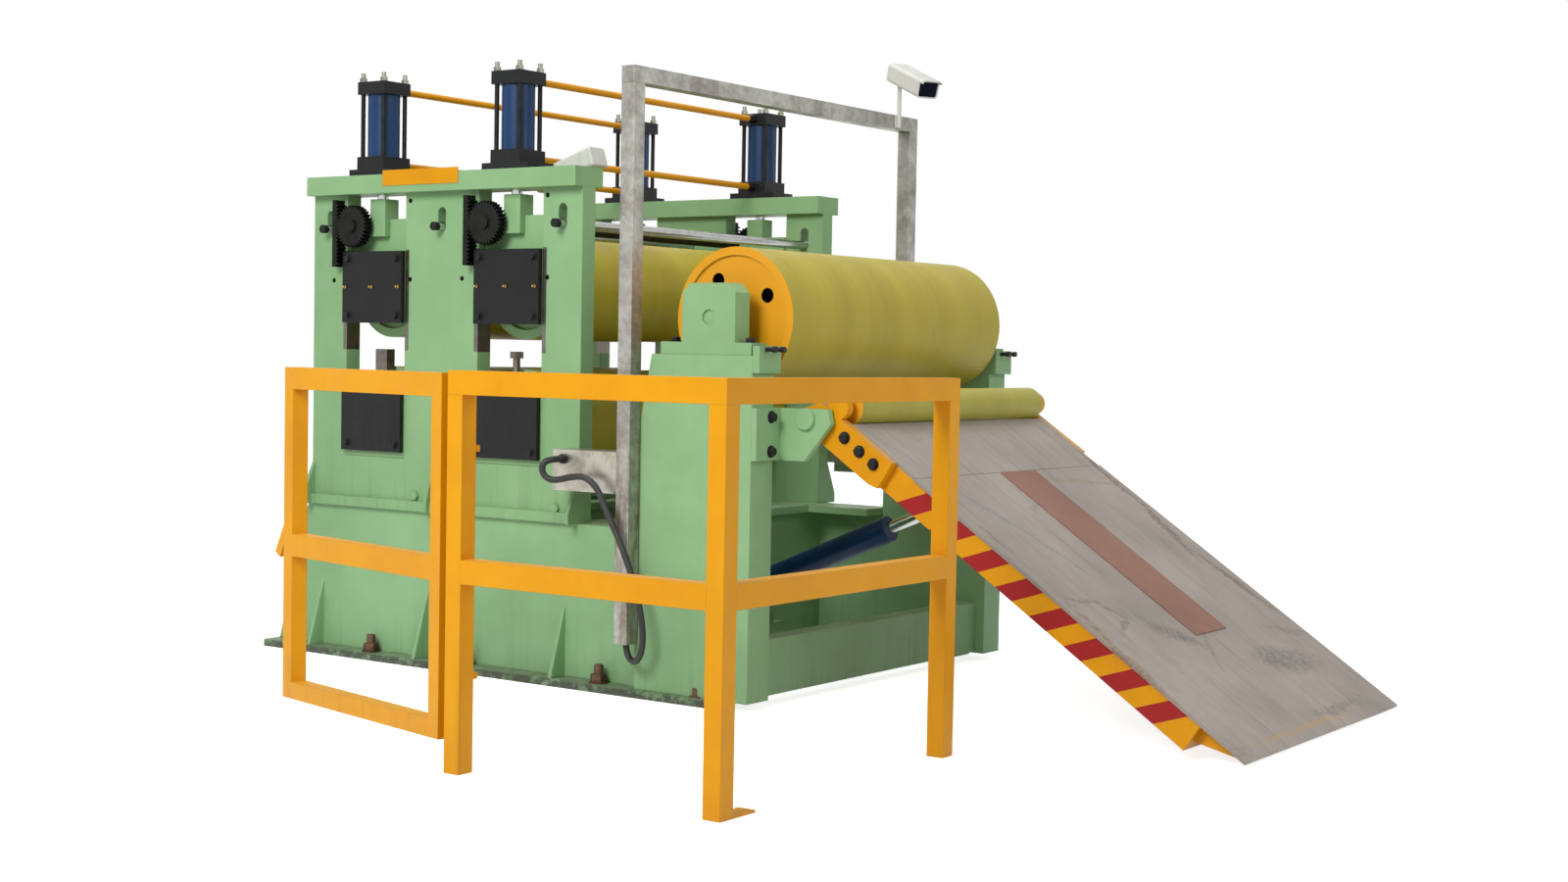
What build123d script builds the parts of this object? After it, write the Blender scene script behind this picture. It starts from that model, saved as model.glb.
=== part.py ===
from build123d import *
import os
from math import acos, cos, hypot, pi, radians, sin, tan

# Pinch roll feeder: two stands of rolls that pull the end of a steel coil off its
# mandrel, a deflector roll behind them, and a hinged table that guides the strip.
# X runs along the strip, Y across the machine, Z up from the floor. The origin is
# on the floor, midway between the two stands, on the machine's centre line.
# All sizes are in millimetres. The operator's side is -Y, the drive side is +Y.

# Fits
FLAT_GAP = 0.3
SLIDE_GAP = 1.0
SHAFT_GAP = 0.5
MOVING_GAP = 6.0

# Base frame
BASE_HEIGHT = 611.0
BASE_TOP_LEFT = -750.0
BASE_FOOT_LEFT = -930.0
BASE_RIGHT = 1060.0
BASE_WEB = 25.0
BASE_TOP_PLATE = 30.0
BASE_TOP_WIDTH = 190.0
FOOT_THICK = 30.0
FOOT_OUT = 78.0
FOOT_IN = 170.0
FOOT_RIGHT = 1420.0
GUSSET_THICK = 16.0
GUSSET_HEIGHT = 264.0
GUSSET_X = (-660.0, -58.0, 660.0)
CROSS_X = (-700.0, 0.0, 700.0)
CROSS_THICK = 25.0
CROSS_FLANGE = 120.0
ANCHOR_X = (-332.0, 190.0, 870.0, 1340.0)
ANCHOR_HOLE_R = 20.0

# Housings, one plate on each side, with two windows open at the top
HOUSING_LENGTH = 1454.0
HOUSING_HEIGHT = 1266.0
PLATE_THICK = 72.0
PLATE_OUTER_Y = 836.0
STAND_PITCH = 730.0
WINDOW_WIDTH = 333.0
SILL_HEIGHT = 209.0
CAP_THICK = 75.0
CAP_OVERHANG = 44.0
CAP_WIDTH = 158.0
LEDGE_HEIGHT = 40.0
LEDGE_PROUD = 22.0
RIB_THICK = 16.0
RIB_HEIGHT = 175.0
RIBS = ((-719.0, 60.0), (-40.0, 40.0), (719.0, 60.0))
LINER_WIDTH = 20.0
LINER_BELOW = 10.0
LINER_ABOVE = 7.0

# Pinch rolls and chocks
ROLL_R = 200.0
ROLL_FACE_HALF = 740.0
ROLL_RECESS_R = 165.0
ROLL_RECESS_DEPTH = 18.0
JOURNAL_R = 60.0
LOWER_ROLL_RISE = 165.0
ROLL_CENTRES = 518.0
CHOCK_INNER_Y = 750.0
CHOCK_FRONT_Y = 841.0
CHOCK_NECK_Y = 800.0
LOWER_CHOCK_HEIGHT = 330.0
UPPER_CHOCK_BELOW = 143.0
UPPER_CHOCK_ABOVE = 142.0
UPPER_CHOCK_NECK = 133.0
COVER_WIDTH = 336.0
COVER_HEIGHT = 288.0
COVER_THICK = 20.0
SEAL_R = 50.0
STUB_R = 45.0
STUB_LENGTH = 130.0
KEY_WIDTH = 14.0
KEY_DEPTH = 5.5
KEY_LENGTH = 110.0
LIFT_DOWN = 100.0
LIFT_UP = 10.0

# Racks and gears that keep both ends of an upper roll level
GEAR_MODULE = 5.0
GEAR_TEETH = 32
GEAR_WIDTH = 40.0
GEAR_HUB_R = 27.0
PRESSURE_ANGLE = 20.0
BACKLASH = 0.5
SYNC_SHAFT_R = 20.0
SYNC_OFFSET = -99.0
SYNC_RISE = 245.0
EAR_R = 38.0
RACK_BELOW = 163.0
RACK_ABOVE = 108.0
RACK_BACK = 28.0

# Lift cylinders on the caps
CYL_HEAD = 148.0
CYL_FLANGE_LENGTH = 236.0
CYL_FLANGE_WIDTH = 150.0
CYL_FLANGE_THICK = 24.0
CYL_HEAD_THICK = 50.0
CYL_TUBE_R = 64.0
CYL_TUBE_WALL = 7.0
CYL_TUBE_LENGTH = 250.0
CYL_ROD_R = 22.0
CYL_PISTON_THICK = 40.0
CYL_TIE_R = 9.0
CYL_TIE_INSET = 16.0
CYL_NUT_R = 15.0
CYL_NUT_HEIGHT = 16.0
CYL_TIE_OVER = 36.0
ROD_BLOCK_WIDTH = 84.0
ROD_BLOCK_FRONT_Y = 830.0
ROD_BLOCK_BACK_Y = 756.0
ROD_BLOCK_BELOW = 40.0
ROD_BLOCK_HEIGHT = 150.0
AIR_PIPE_R = 13.5

# Round bars that tie the two housings, in upright slots
TIE_BAR_R = 19.0
TIE_BAR_BELOW_TOP = 137.0
TIE_BAR_EDGE = 98.0
TIE_SLOT_WIDTH = 42.0
TIE_SLOT_HEIGHT = 96.0
TIE_BAR_PROUD = 26.0
TIE_KNOB_LENGTH = 24.0
TIE_KNOB_R = 17.0

# Deflector roll and its stands
STAND_TOP = 1257.0
STAND_LEFT_TOP = 1120.0
STAND_LEFT_SHOULDER = 1068.0
STAND_SHOULDER_Z = 1000.0
STAND_LEFT = 1060.0
STAND_RIGHT = 1570.0
STAND_INNER_Y = 770.0
STAND_OUTER_Y = 900.0
DEFLECTOR_X = 1371.0
DEFLECTOR_Z = 1390.0
DEFLECTOR_R = 258.0
DEFLECTOR_FACE_HALF = 742.0
DEFLECTOR_DISC_R = 228.0
DEFLECTOR_DISC_DEPTH = 10.0
DEFLECTOR_HOLE_R = 27.0
DEFLECTOR_HOLE_PITCH_R = 160.0
DEFLECTOR_HOLES = 4
DEFLECTOR_SHAFT_R = 32.0
PILLOW_BASE_LEFT = 1158.0
PILLOW_BASE_RIGHT = 1562.0
PILLOW_BASE_THICK = 45.0
PILLOW_HALF_WIDTH = 118.0
PILLOW_TOP = 1512.0
PILLOW_CHAMFER = 34.0
PILLOW_OUTER_Y = 897.0
PILLOW_INNER_Y = 812.0
PILLOW_EYE_R = 27.0
PILLOW_EYE_DEPTH = 8.0
ADJUSTER_THICK = 30.0
ADJUSTER_HEIGHT = 96.0
ADJUSTER_TOP = 1292.0
SET_SCREW_R = 8.0
SET_SCREW_HEAD_R = 12.0
STAND_BEAM_LEFT = 1450.0
STAND_BEAM_RIGHT = 1530.0
STAND_BEAM_BOTTOM = 35.0
STAND_BEAM_TOP = 240.0

# Table hinge brackets
PIVOT_X = 1702.0
PIVOT_Z = 1038.0
PIVOT_R = 20.0
BRACKET_FLANGE_THICK = 22.0
BRACKET_BOTTOM = 888.0
BRACKET_TOP = 1074.0
BRACKET_PLATE = 25.0
BRACKET_INNER_Y = 732.0
BRACKET_REACH = 105.0
BOSS_R = 39.0
BOSS_PROUD = 12.0

# Table, in its own frame: U runs down the deck from the hinge, V stands square to it
TABLE_REST_ANGLE = 33.8
DECK_START = 136.0
DECK_JOINT = 454.0
DECK_END = 1930.0
DECK_SPLIT = 2.0
DECK_TOP = 74.0
DECK_THICK = 12.0
DECK_HALF_WIDTH = 700.0
STRIP_START = 458.0
STRIP_END = 1400.0
STRIP_LOW_Y = -110.0
STRIP_HIGH_Y = 150.0
STRIP_THICK = 3.0
FRAME_SIDE_Y = 690.0
FRAME_TUBE = 60.0
FRAME_BOTTOM = -40.0
FRAME_START = 150.0
FRAME_END = 1745.0
FRAME_CROSS_U = (180.0, 640.0, 1180.0, 1700.0)
ARM_THICK = 34.0
ARM_START = -46.0
ARM_END = 362.0
ARM_BOTTOM = -46.0
TIP_RIB_Y = 640.0
TIP_RIB_THICK = 16.0
TABLE_ROLLER_U = 68.0
TABLE_ROLLER_V = 97.0
TABLE_ROLLER_R = 65.0
TABLE_ROLLER_HALF = 660.0
TABLE_ROLLER_SHAFT_R = 20.0
ROLLER_EAR_R = 44.0

# Table cylinder
RAM_FOOT_X = 950.0
RAM_FOOT_Z = 330.0
RAM_LUG_U = 380.0
RAM_LUG_V = -70.0
RAM_BARREL_R = 50.0
RAM_BARREL_WALL = 9.0
RAM_BARREL_START = 60.0
RAM_BARREL_END = 690.0
RAM_ROD_R = 25.0
RAM_PISTON_THICK = 45.0
RAM_EYE_R = 40.0
RAM_EYE_HALF = 25.0
RAM_PIN_R = 20.0
RAM_LUG_THICK = 20.0

# Gantry of square tube that carries a camera
GANTRY_TUBE = 60.0
GANTRY_WALL = 4.0
GANTRY_X = 1045.0
GANTRY_OUTER_Y = 966.0
GANTRY_TOP = 2290.0
GANTRY_BOTTOM = 200.0
BOX_LEFT = 692.0
BOX_BOTTOM = 790.0
BOX_TOP = 896.0
BOX_DEPTH = 110.0
SHELF_BOTTOM = 744.0
SHELF_THICK = 6.0

# Cameras in their housings
CAMERA_ROD_R = 10.0
CAMERA_ROD_OFFSET = 6.0
CAMERA_ROD_IN = 4.0
CAMERA_PAD = 40.0
CAMERA_PAD_THICK = 16.0
FAR_CAMERA_Y = 800.0
FAR_CAMERA_RISE = 185.0
FAR_CAMERA_LENGTH = 290.0
FAR_CAMERA_WIDTH = 84.0
FAR_CAMERA_HEIGHT = 78.0
FAR_CAMERA_CORNER = 20.0
NEAR_CAMERA_X = 500.0
NEAR_CAMERA_LENGTH = 210.0
NEAR_CAMERA_WIDTH = 70.0
NEAR_CAMERA_HEIGHT = 68.0
NEAR_CAMERA_CORNER = 18.0

# Guard rail and gate
RAIL_TOP = 1200.0
RAIL_HEIGHT = 72.0
RAIL_TUBE = 60.0
MID_RAIL_TOP = 641.0
GUARD_Y = -2290.0
GUARD_LEFT_X = 1520.0
GUARD_RIGHT_X = 2490.0
GUARD_END_Y = -1120.0
GATE_LENGTH = 965.0
GATE_GAP = 6.0
GATE_BOTTOM = 95.0
GATE_TOP = 1192.0
GATE_AJAR = 13.2
GATE_TUBE = 56.0
HINGE_PROUD = 16.0
HINGE_PIN_R = 7.0
HINGE_EYE_R = 14.0
HINGE_LUG_R = 12.0
HINGE_HEIGHT = 40.0
HINGE_LEVELS = (300.0, 980.0)
HANDLE_REACH = 95.0

# Worked out from the sizes above
PLATE_INNER_Y = PLATE_OUTER_Y - PLATE_THICK
HOUSING_TOP = BASE_HEIGHT + HOUSING_HEIGHT
CAP_TOP = HOUSING_TOP + CAP_THICK
CAP_OUTER_Y = PLATE_OUTER_Y + CAP_OVERHANG
CYL_Y = CAP_OUTER_Y - CAP_WIDTH / 2
SILL_Z = BASE_HEIGHT + SILL_HEIGHT
LOWER_ROLL_Z = SILL_Z + LOWER_ROLL_RISE
UPPER_ROLL_Z = LOWER_ROLL_Z + ROLL_CENTRES
LOWER_CHOCK_TOP = SILL_Z + LOWER_CHOCK_HEIGHT
UPPER_CHOCK_BOTTOM = UPPER_ROLL_Z - UPPER_CHOCK_BELOW
UPPER_CHOCK_SHOULDER = UPPER_ROLL_Z + UPPER_CHOCK_ABOVE
UPPER_CHOCK_TOP = UPPER_CHOCK_SHOULDER + UPPER_CHOCK_NECK
LINER_BOTTOM = UPPER_CHOCK_BOTTOM - LIFT_DOWN - LINER_BELOW
LINER_TOP = UPPER_CHOCK_SHOULDER + LINER_ABOVE
SYNC_Z = UPPER_ROLL_Z + SYNC_RISE
RACK_BOTTOM = SYNC_Z - RACK_BELOW
RACK_TOP = SYNC_Z + RACK_ABOVE
ROD_BLOCK_BOTTOM = SYNC_Z - ROD_BLOCK_BELOW
ROD_BLOCK_TOP = ROD_BLOCK_BOTTOM + ROD_BLOCK_HEIGHT
TIE_BAR_Z = HOUSING_TOP - TIE_BAR_BELOW_TOP
TIE_BAR_SPACING = HOUSING_LENGTH / 2 - TIE_BAR_EDGE
STAND_XS = (-STAND_PITCH / 2, STAND_PITCH / 2)
CHOCK_WIDTH = WINDOW_WIDTH - 2 * SLIDE_GAP
COVER_FRONT_Y = CHOCK_FRONT_Y + COVER_THICK
STUB_START_Y = COVER_FRONT_Y + 2
GEAR_PITCH_R = GEAR_MODULE * GEAR_TEETH / 2
GEAR_BACK_Y = PLATE_OUTER_Y + MOVING_GAP + 1
GEAR_FRONT_Y = GEAR_BACK_Y + GEAR_WIDTH
CYL_TUBE_BOTTOM = CAP_TOP + CYL_FLANGE_THICK + CYL_HEAD_THICK
CYL_TUBE_TOP = CYL_TUBE_BOTTOM + CYL_TUBE_LENGTH
CYL_TOP = CYL_TUBE_TOP + CYL_HEAD_THICK
CYL_TIE_OFFSET = CYL_HEAD / 2 - CYL_TIE_INSET
GATE_HINGE_X = GUARD_LEFT_X - RAIL_TUBE / 2 - GATE_GAP
GATE_HINGE_Y = GUARD_Y + RAIL_TUBE / 2 + HINGE_PROUD
PIN_LENGTH = BRACKET_INNER_Y + BRACKET_PLATE - 1 - FRAME_SIDE_Y - ARM_THICK


def save(builder, label):
    """Names a finished piece and writes it."""
    builder.part.label = label
    export_step(builder.part, f"parts/{label}.step")


def across(x, z):
    """Plane square to the rolls, centred on a roll axis; its normal is -Y."""
    return Plane(origin=(x, 0, z), x_dir=(1, 0, 0), z_dir=(0, -1, 0))


def table_plane(offset=0.0):
    """Plane along the table, with its origin on the hinge axis: X is U and Y is V."""
    angle = radians(TABLE_REST_ANGLE)
    return Plane(
        origin=(PIVOT_X, -offset, PIVOT_Z),
        x_dir=(cos(angle), 0, -sin(angle)),
        z_dir=(0, -1, 0),
    )


def table_point(u, v):
    """World X and Z of a point given in the table's own frame."""
    angle = radians(TABLE_REST_ANGLE)
    return (
        PIVOT_X + u * cos(angle) + v * sin(angle),
        PIVOT_Z - u * sin(angle) + v * cos(angle),
    )


RAM_LUG_X, RAM_LUG_Z = table_point(RAM_LUG_U, RAM_LUG_V)
RAM_LENGTH = hypot(RAM_LUG_X - RAM_FOOT_X, RAM_LUG_Z - RAM_FOOT_Z)


def ram_plane():
    """Plane along the table cylinder, with its origin on the foot pin."""
    run = (RAM_LUG_X - RAM_FOOT_X) / RAM_LENGTH
    rise = (RAM_LUG_Z - RAM_FOOT_Z) / RAM_LENGTH
    return Plane(
        origin=(RAM_FOOT_X, 0, RAM_FOOT_Z), x_dir=(run, 0, rise), z_dir=(0, -1, 0)
    )


def base_frame():
    """Welded base: two side beams with feet and gussets, tied by cross members."""
    with BuildPart() as base:
        with BuildSketch(Plane.XZ.offset(PLATE_OUTER_Y - BASE_WEB)):
            with BuildLine():
                Polyline(
                    (BASE_FOOT_LEFT, 0),
                    (BASE_RIGHT, 0),
                    (BASE_RIGHT, BASE_HEIGHT),
                    (BASE_TOP_LEFT, BASE_HEIGHT),
                    close=True,
                )
            make_face()
        extrude(amount=BASE_WEB)
        top_length = BASE_RIGHT - BASE_TOP_LEFT
        with BuildSketch(Plane.XY.offset(BASE_HEIGHT)):
            with Locations(
                (BASE_TOP_LEFT + top_length / 2, BASE_TOP_WIDTH / 2 - PLATE_OUTER_Y)
            ):
                Rectangle(top_length, BASE_TOP_WIDTH)
        extrude(amount=-BASE_TOP_PLATE)
        foot_length = FOOT_RIGHT - BASE_FOOT_LEFT
        foot_width = FOOT_OUT + FOOT_IN
        with BuildSketch():
            with Locations(
                (
                    BASE_FOOT_LEFT + foot_length / 2,
                    foot_width / 2 - PLATE_OUTER_Y - FOOT_OUT,
                )
            ):
                Rectangle(foot_length, foot_width)
            with Locations(
                [(x, -PLATE_OUTER_Y - FOOT_OUT / 2) for x in ANCHOR_X]
            ):
                Circle(ANCHOR_HOLE_R, mode=Mode.SUBTRACT)
        extrude(amount=FOOT_THICK)
        for x in GUSSET_X:
            with BuildSketch(Plane.YZ.offset(x - GUSSET_THICK / 2)):
                with BuildLine():
                    Polyline(
                        (-PLATE_OUTER_Y, FOOT_THICK),
                        (-PLATE_OUTER_Y, FOOT_THICK + GUSSET_HEIGHT),
                        (-PLATE_OUTER_Y - FOOT_OUT, FOOT_THICK),
                        close=True,
                    )
                make_face()
            extrude(amount=GUSSET_THICK)
        mirror(about=Plane.XZ)
        web_inner = PLATE_OUTER_Y - BASE_WEB
        for x in CROSS_X:
            with BuildSketch(Plane.YZ.offset(x - CROSS_THICK / 2)):
                with Locations((0, BASE_HEIGHT / 2)):
                    Rectangle(2 * web_inner, BASE_HEIGHT)
            extrude(amount=CROSS_THICK)
            with BuildSketch(Plane.XY.offset(BASE_HEIGHT)):
                with Locations((x, 0)):
                    Rectangle(CROSS_FLANGE, 2 * web_inner)
            extrude(amount=-BASE_TOP_PLATE)
    save(base, "base_frame")


def housing_plate():
    """One housing: a thick plate with two windows and the slots of the tie bars."""
    with BuildPart() as plate:
        with BuildSketch(Plane.XZ.offset(PLATE_INNER_Y)):
            with Locations((0, BASE_HEIGHT + HOUSING_HEIGHT / 2)):
                Rectangle(HOUSING_LENGTH, HOUSING_HEIGHT)
            window_height = HOUSING_TOP - SILL_Z
            for x in STAND_XS:
                with Locations((x, SILL_Z + window_height / 2)):
                    Rectangle(WINDOW_WIDTH, window_height, mode=Mode.SUBTRACT)
                with Locations((x, (LINER_BOTTOM + LINER_TOP) / 2)):
                    Rectangle(
                        WINDOW_WIDTH + 2 * LINER_WIDTH,
                        LINER_TOP - LINER_BOTTOM,
                        mode=Mode.SUBTRACT,
                    )
            slot_centre = TIE_BAR_Z - TIE_BAR_R + TIE_SLOT_HEIGHT / 2 - FLAT_GAP
            with Locations(
                *[(i * TIE_BAR_SPACING, slot_centre) for i in (-1, 0, 1)]
            ):
                SlotOverall(
                    TIE_SLOT_HEIGHT, TIE_SLOT_WIDTH, rotation=90, mode=Mode.SUBTRACT
                )
        extrude(amount=PLATE_THICK)
        with BuildSketch(Plane.XZ.offset(PLATE_OUTER_Y)):
            with Locations((0, BASE_HEIGHT + LEDGE_HEIGHT / 2)):
                Rectangle(HOUSING_LENGTH, LEDGE_HEIGHT)
        extrude(amount=LEDGE_PROUD)
        for x, reach in RIBS:
            with BuildSketch(Plane.YZ.offset(x - RIB_THICK / 2)):
                with BuildLine():
                    Polyline(
                        (-PLATE_OUTER_Y + 5, BASE_HEIGHT),
                        (-PLATE_OUTER_Y + 5, BASE_HEIGHT + RIB_HEIGHT),
                        (-PLATE_OUTER_Y, BASE_HEIGHT + RIB_HEIGHT),
                        (-PLATE_OUTER_Y - reach, BASE_HEIGHT + LEDGE_HEIGHT),
                        (-PLATE_OUTER_Y - reach, BASE_HEIGHT),
                        close=True,
                    )
                make_face()
            extrude(amount=RIB_THICK)
    return plate


def housings():
    """The operator's and the drive side's housing are mirror images."""
    near = housing_plate()
    save(near, "housing_near")
    with BuildPart() as far:
        add(near.part.mirror(Plane.XZ))
    save(far, "housing_far")


def caps():
    """Top plates that close the windows and carry the lift cylinders."""
    with BuildPart() as near:
        with BuildSketch(Plane.XY.offset(HOUSING_TOP)):
            with Locations((0, -CYL_Y)):
                Rectangle(HOUSING_LENGTH, CAP_WIDTH)
            with Locations(*[(x, -CYL_Y) for x in STAND_XS]):
                Circle(CYL_ROD_R + SHAFT_GAP, mode=Mode.SUBTRACT)
        extrude(amount=CAP_THICK)
    save(near, "cap_near")
    with BuildPart() as far:
        add(near.part.mirror(Plane.XZ))
    save(far, "cap_far")


def window_liners():
    """Steel liners let into the window sides, where the upper chocks slide."""
    with BuildPart() as liners:
        with BuildSketch(Plane.XZ.offset(PLATE_INNER_Y)):
            for x in STAND_XS:
                for side in (-1, 1):
                    centre = x + side * (WINDOW_WIDTH + LINER_WIDTH) / 2
                    with Locations((centre, (LINER_BOTTOM + LINER_TOP) / 2)):
                        Rectangle(LINER_WIDTH, LINER_TOP - LINER_BOTTOM)
        extrude(amount=PLATE_THICK)
        mirror(about=Plane.XZ)
    save(liners, "window_liners")


def tie_bars():
    """Chrome bars through both housings, resting in their slots, with black ends."""
    half = PLATE_OUTER_Y + TIE_BAR_PROUD
    with BuildPart() as bars:
        with BuildSketch(Plane.XZ):
            with Locations(*[(i * TIE_BAR_SPACING, TIE_BAR_Z) for i in (-1, 0, 1)]):
                Circle(TIE_BAR_R)
        extrude(amount=half, both=True)
    save(bars, "tie_bars")
    with BuildPart() as knobs:
        with BuildSketch(Plane.XZ.offset(half)):
            with Locations(*[(i * TIE_BAR_SPACING, TIE_BAR_Z) for i in (-1, 0, 1)]):
                Circle(TIE_KNOB_R)
        extrude(amount=TIE_KNOB_LENGTH)
        mirror(about=Plane.XZ)
    save(knobs, "tie_bar_ends")


def lower_chocks():
    """Bearing housings of the lower rolls, seated on the window sills."""
    with BuildPart() as chocks:
        height = LOWER_CHOCK_TOP - SILL_Z
        with BuildSketch(Plane.XZ.offset(CHOCK_INNER_Y)):
            for x in STAND_XS:
                with Locations((x, SILL_Z + height / 2)):
                    Rectangle(WINDOW_WIDTH, height)
                with Locations((x, LOWER_ROLL_Z)):
                    Circle(JOURNAL_R + SHAFT_GAP, mode=Mode.SUBTRACT)
        extrude(amount=CHOCK_FRONT_Y - CHOCK_INNER_Y)
        mirror(about=Plane.XZ)
    save(chocks, "lower_chocks")
    with BuildPart() as covers:
        with BuildSketch(Plane.XZ.offset(CHOCK_FRONT_Y)):
            with Locations(*[(x, LOWER_ROLL_Z) for x in STAND_XS]):
                Rectangle(COVER_WIDTH, COVER_HEIGHT)
        extrude(amount=COVER_THICK)
        with BuildSketch(Plane.XZ.offset(-COVER_FRONT_Y)):
            with Locations(*[(x, LOWER_ROLL_Z) for x in STAND_XS]):
                Rectangle(COVER_WIDTH, COVER_HEIGHT)
                Circle(SEAL_R + SHAFT_GAP, mode=Mode.SUBTRACT)
        extrude(amount=COVER_THICK)
    save(covers, "lower_chock_covers")


def stop_screws():
    """Screws and blocks on the lower chocks that limit how far an upper roll drops."""
    with BuildPart() as stops:
        tops = UPPER_CHOCK_BOTTOM - LIFT_DOWN - MOVING_GAP
        head = 26.0
        screw_x = STAND_XS[1] - 16
        with BuildSketch(Plane.XY.offset(LOWER_CHOCK_TOP)):
            with Locations((screw_x, -(CHOCK_INNER_Y + CHOCK_NECK_Y) / 2)):
                Circle(14)
        extrude(amount=tops - LOWER_CHOCK_TOP)
        with BuildSketch(Plane.XY.offset(tops - head)):
            with Locations((screw_x, -(CHOCK_INNER_Y + CHOCK_NECK_Y) / 2)):
                RegularPolygon(27, 6)
        extrude(amount=head)
        with BuildSketch(Plane.XY.offset(LOWER_CHOCK_TOP)):
            with Locations((STAND_XS[0] - 6, -(CHOCK_INNER_Y + CHOCK_NECK_Y) / 2)):
                Rectangle(64, 44)
        extrude(amount=tops - LOWER_CHOCK_TOP)
        mirror(about=Plane.XZ)
    save(stops, "stop_blocks")


def pinch_roll(x, z, far_end):
    """A covered roll with recessed ends, its journals and, if driven, a keyed stub."""
    with BuildPart() as roll:
        with BuildSketch(across(x, z)):
            Circle(ROLL_R)
        extrude(amount=ROLL_FACE_HALF, both=True)
        with BuildSketch(across(x, z).offset(ROLL_FACE_HALF)):
            Circle(ROLL_RECESS_R)
            Circle(JOURNAL_R + 25, mode=Mode.SUBTRACT)
        extrude(amount=-ROLL_RECESS_DEPTH, mode=Mode.SUBTRACT)
        with BuildSketch(across(x, z).offset(-ROLL_FACE_HALF)):
            Circle(ROLL_RECESS_R)
            Circle(JOURNAL_R + 25, mode=Mode.SUBTRACT)
        extrude(amount=ROLL_RECESS_DEPTH, mode=Mode.SUBTRACT)
        with BuildSketch(across(x, z)):
            Circle(JOURNAL_R)
        extrude(amount=CHOCK_FRONT_Y - 3, both=True)
        if far_end:
            with BuildSketch(across(x, z).offset(-CHOCK_FRONT_Y + 3)):
                Circle(SEAL_R)
            extrude(amount=-COVER_THICK - 5)
            with BuildSketch(across(x, z).offset(-STUB_START_Y)):
                Circle(STUB_R)
            extrude(amount=-STUB_LENGTH)
            end = STUB_START_Y + STUB_LENGTH
            with BuildSketch(Plane.XY.offset(z + STUB_R)):
                with Locations((x, end - KEY_LENGTH / 2)):
                    Rectangle(KEY_WIDTH, KEY_LENGTH)
            extrude(amount=-KEY_DEPTH, mode=Mode.SUBTRACT)
    return roll


def pinch_rolls():
    """Two stands, each with a driven lower roll and an idle upper one."""
    for number, x in enumerate(STAND_XS, start=1):
        save(pinch_roll(x, LOWER_ROLL_Z, True), f"lower_roll_{number}")
        save(pinch_roll(x, UPPER_ROLL_Z, False), f"upper_roll_{number}")


def upper_chocks(x, number):
    """Bearing housings of an upper roll, with an ear for the shaft of the gears."""
    shaft_x = x + SYNC_OFFSET
    with BuildPart() as chocks:
        with BuildSketch(Plane.XZ.offset(CHOCK_INNER_Y)):
            height = UPPER_CHOCK_TOP - UPPER_CHOCK_BOTTOM
            with Locations((x, UPPER_CHOCK_BOTTOM + height / 2)):
                Rectangle(CHOCK_WIDTH, height)
            with Locations((shaft_x, SYNC_Z)):
                Circle(EAR_R)
        extrude(amount=CHOCK_NECK_Y - CHOCK_INNER_Y)
        with BuildSketch(Plane.XZ.offset(CHOCK_NECK_Y)):
            height = UPPER_CHOCK_SHOULDER - UPPER_CHOCK_BOTTOM
            with Locations((x, UPPER_CHOCK_BOTTOM + height / 2)):
                Rectangle(CHOCK_WIDTH, height)
        extrude(amount=CHOCK_FRONT_Y - CHOCK_NECK_Y)
        with BuildSketch(Plane.XZ.offset(CHOCK_INNER_Y)):
            with Locations((x, UPPER_ROLL_Z)):
                Circle(JOURNAL_R + SHAFT_GAP)
            with Locations((shaft_x, SYNC_Z)):
                Circle(SYNC_SHAFT_R + SHAFT_GAP)
        extrude(amount=CHOCK_FRONT_Y - CHOCK_INNER_Y, mode=Mode.SUBTRACT)
        slot_height = UPPER_CHOCK_TOP + EAR_R - ROD_BLOCK_BOTTOM
        with BuildSketch(Plane.XZ.offset(CHOCK_INNER_Y)):
            with Locations((x, ROD_BLOCK_BOTTOM + slot_height / 2)):
                Rectangle(ROD_BLOCK_WIDTH, slot_height)
        extrude(amount=CHOCK_FRONT_Y - CHOCK_INNER_Y, mode=Mode.SUBTRACT)
        mirror(about=Plane.XZ)
    save(chocks, f"upper_chocks_{number}")
    with BuildPart() as covers:
        with BuildSketch(Plane.XZ.offset(CHOCK_FRONT_Y)):
            with Locations((x, UPPER_ROLL_Z)):
                Rectangle(COVER_WIDTH, COVER_HEIGHT)
        extrude(amount=COVER_THICK)
        mirror(about=Plane.XZ)
    save(covers, f"upper_chock_covers_{number}")


def lift_rods(x, number):
    """Rod, piston and coupling block that hang an upper chock from its cylinder."""
    with BuildPart() as rods:
        with BuildSketch(Plane.XY.offset(ROD_BLOCK_BOTTOM)):
            with Locations((x, -(ROD_BLOCK_FRONT_Y + ROD_BLOCK_BACK_Y) / 2)):
                Rectangle(ROD_BLOCK_WIDTH, ROD_BLOCK_FRONT_Y - ROD_BLOCK_BACK_Y)
        extrude(amount=ROD_BLOCK_TOP - ROD_BLOCK_BOTTOM)
        piston_top = CYL_TUBE_TOP - LIFT_UP - MOVING_GAP
        with BuildSketch(Plane.XY.offset(ROD_BLOCK_TOP)):
            with Locations((x, -CYL_Y)):
                Circle(CYL_ROD_R)
        extrude(amount=piston_top - ROD_BLOCK_TOP)
        with BuildSketch(Plane.XY.offset(piston_top)):
            with Locations((x, -CYL_Y)):
                Circle(CYL_TUBE_R - CYL_TUBE_WALL - SHAFT_GAP)
        extrude(amount=-CYL_PISTON_THICK)
        mirror(about=Plane.XZ)
    save(rods, f"lift_rods_{number}")


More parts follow.
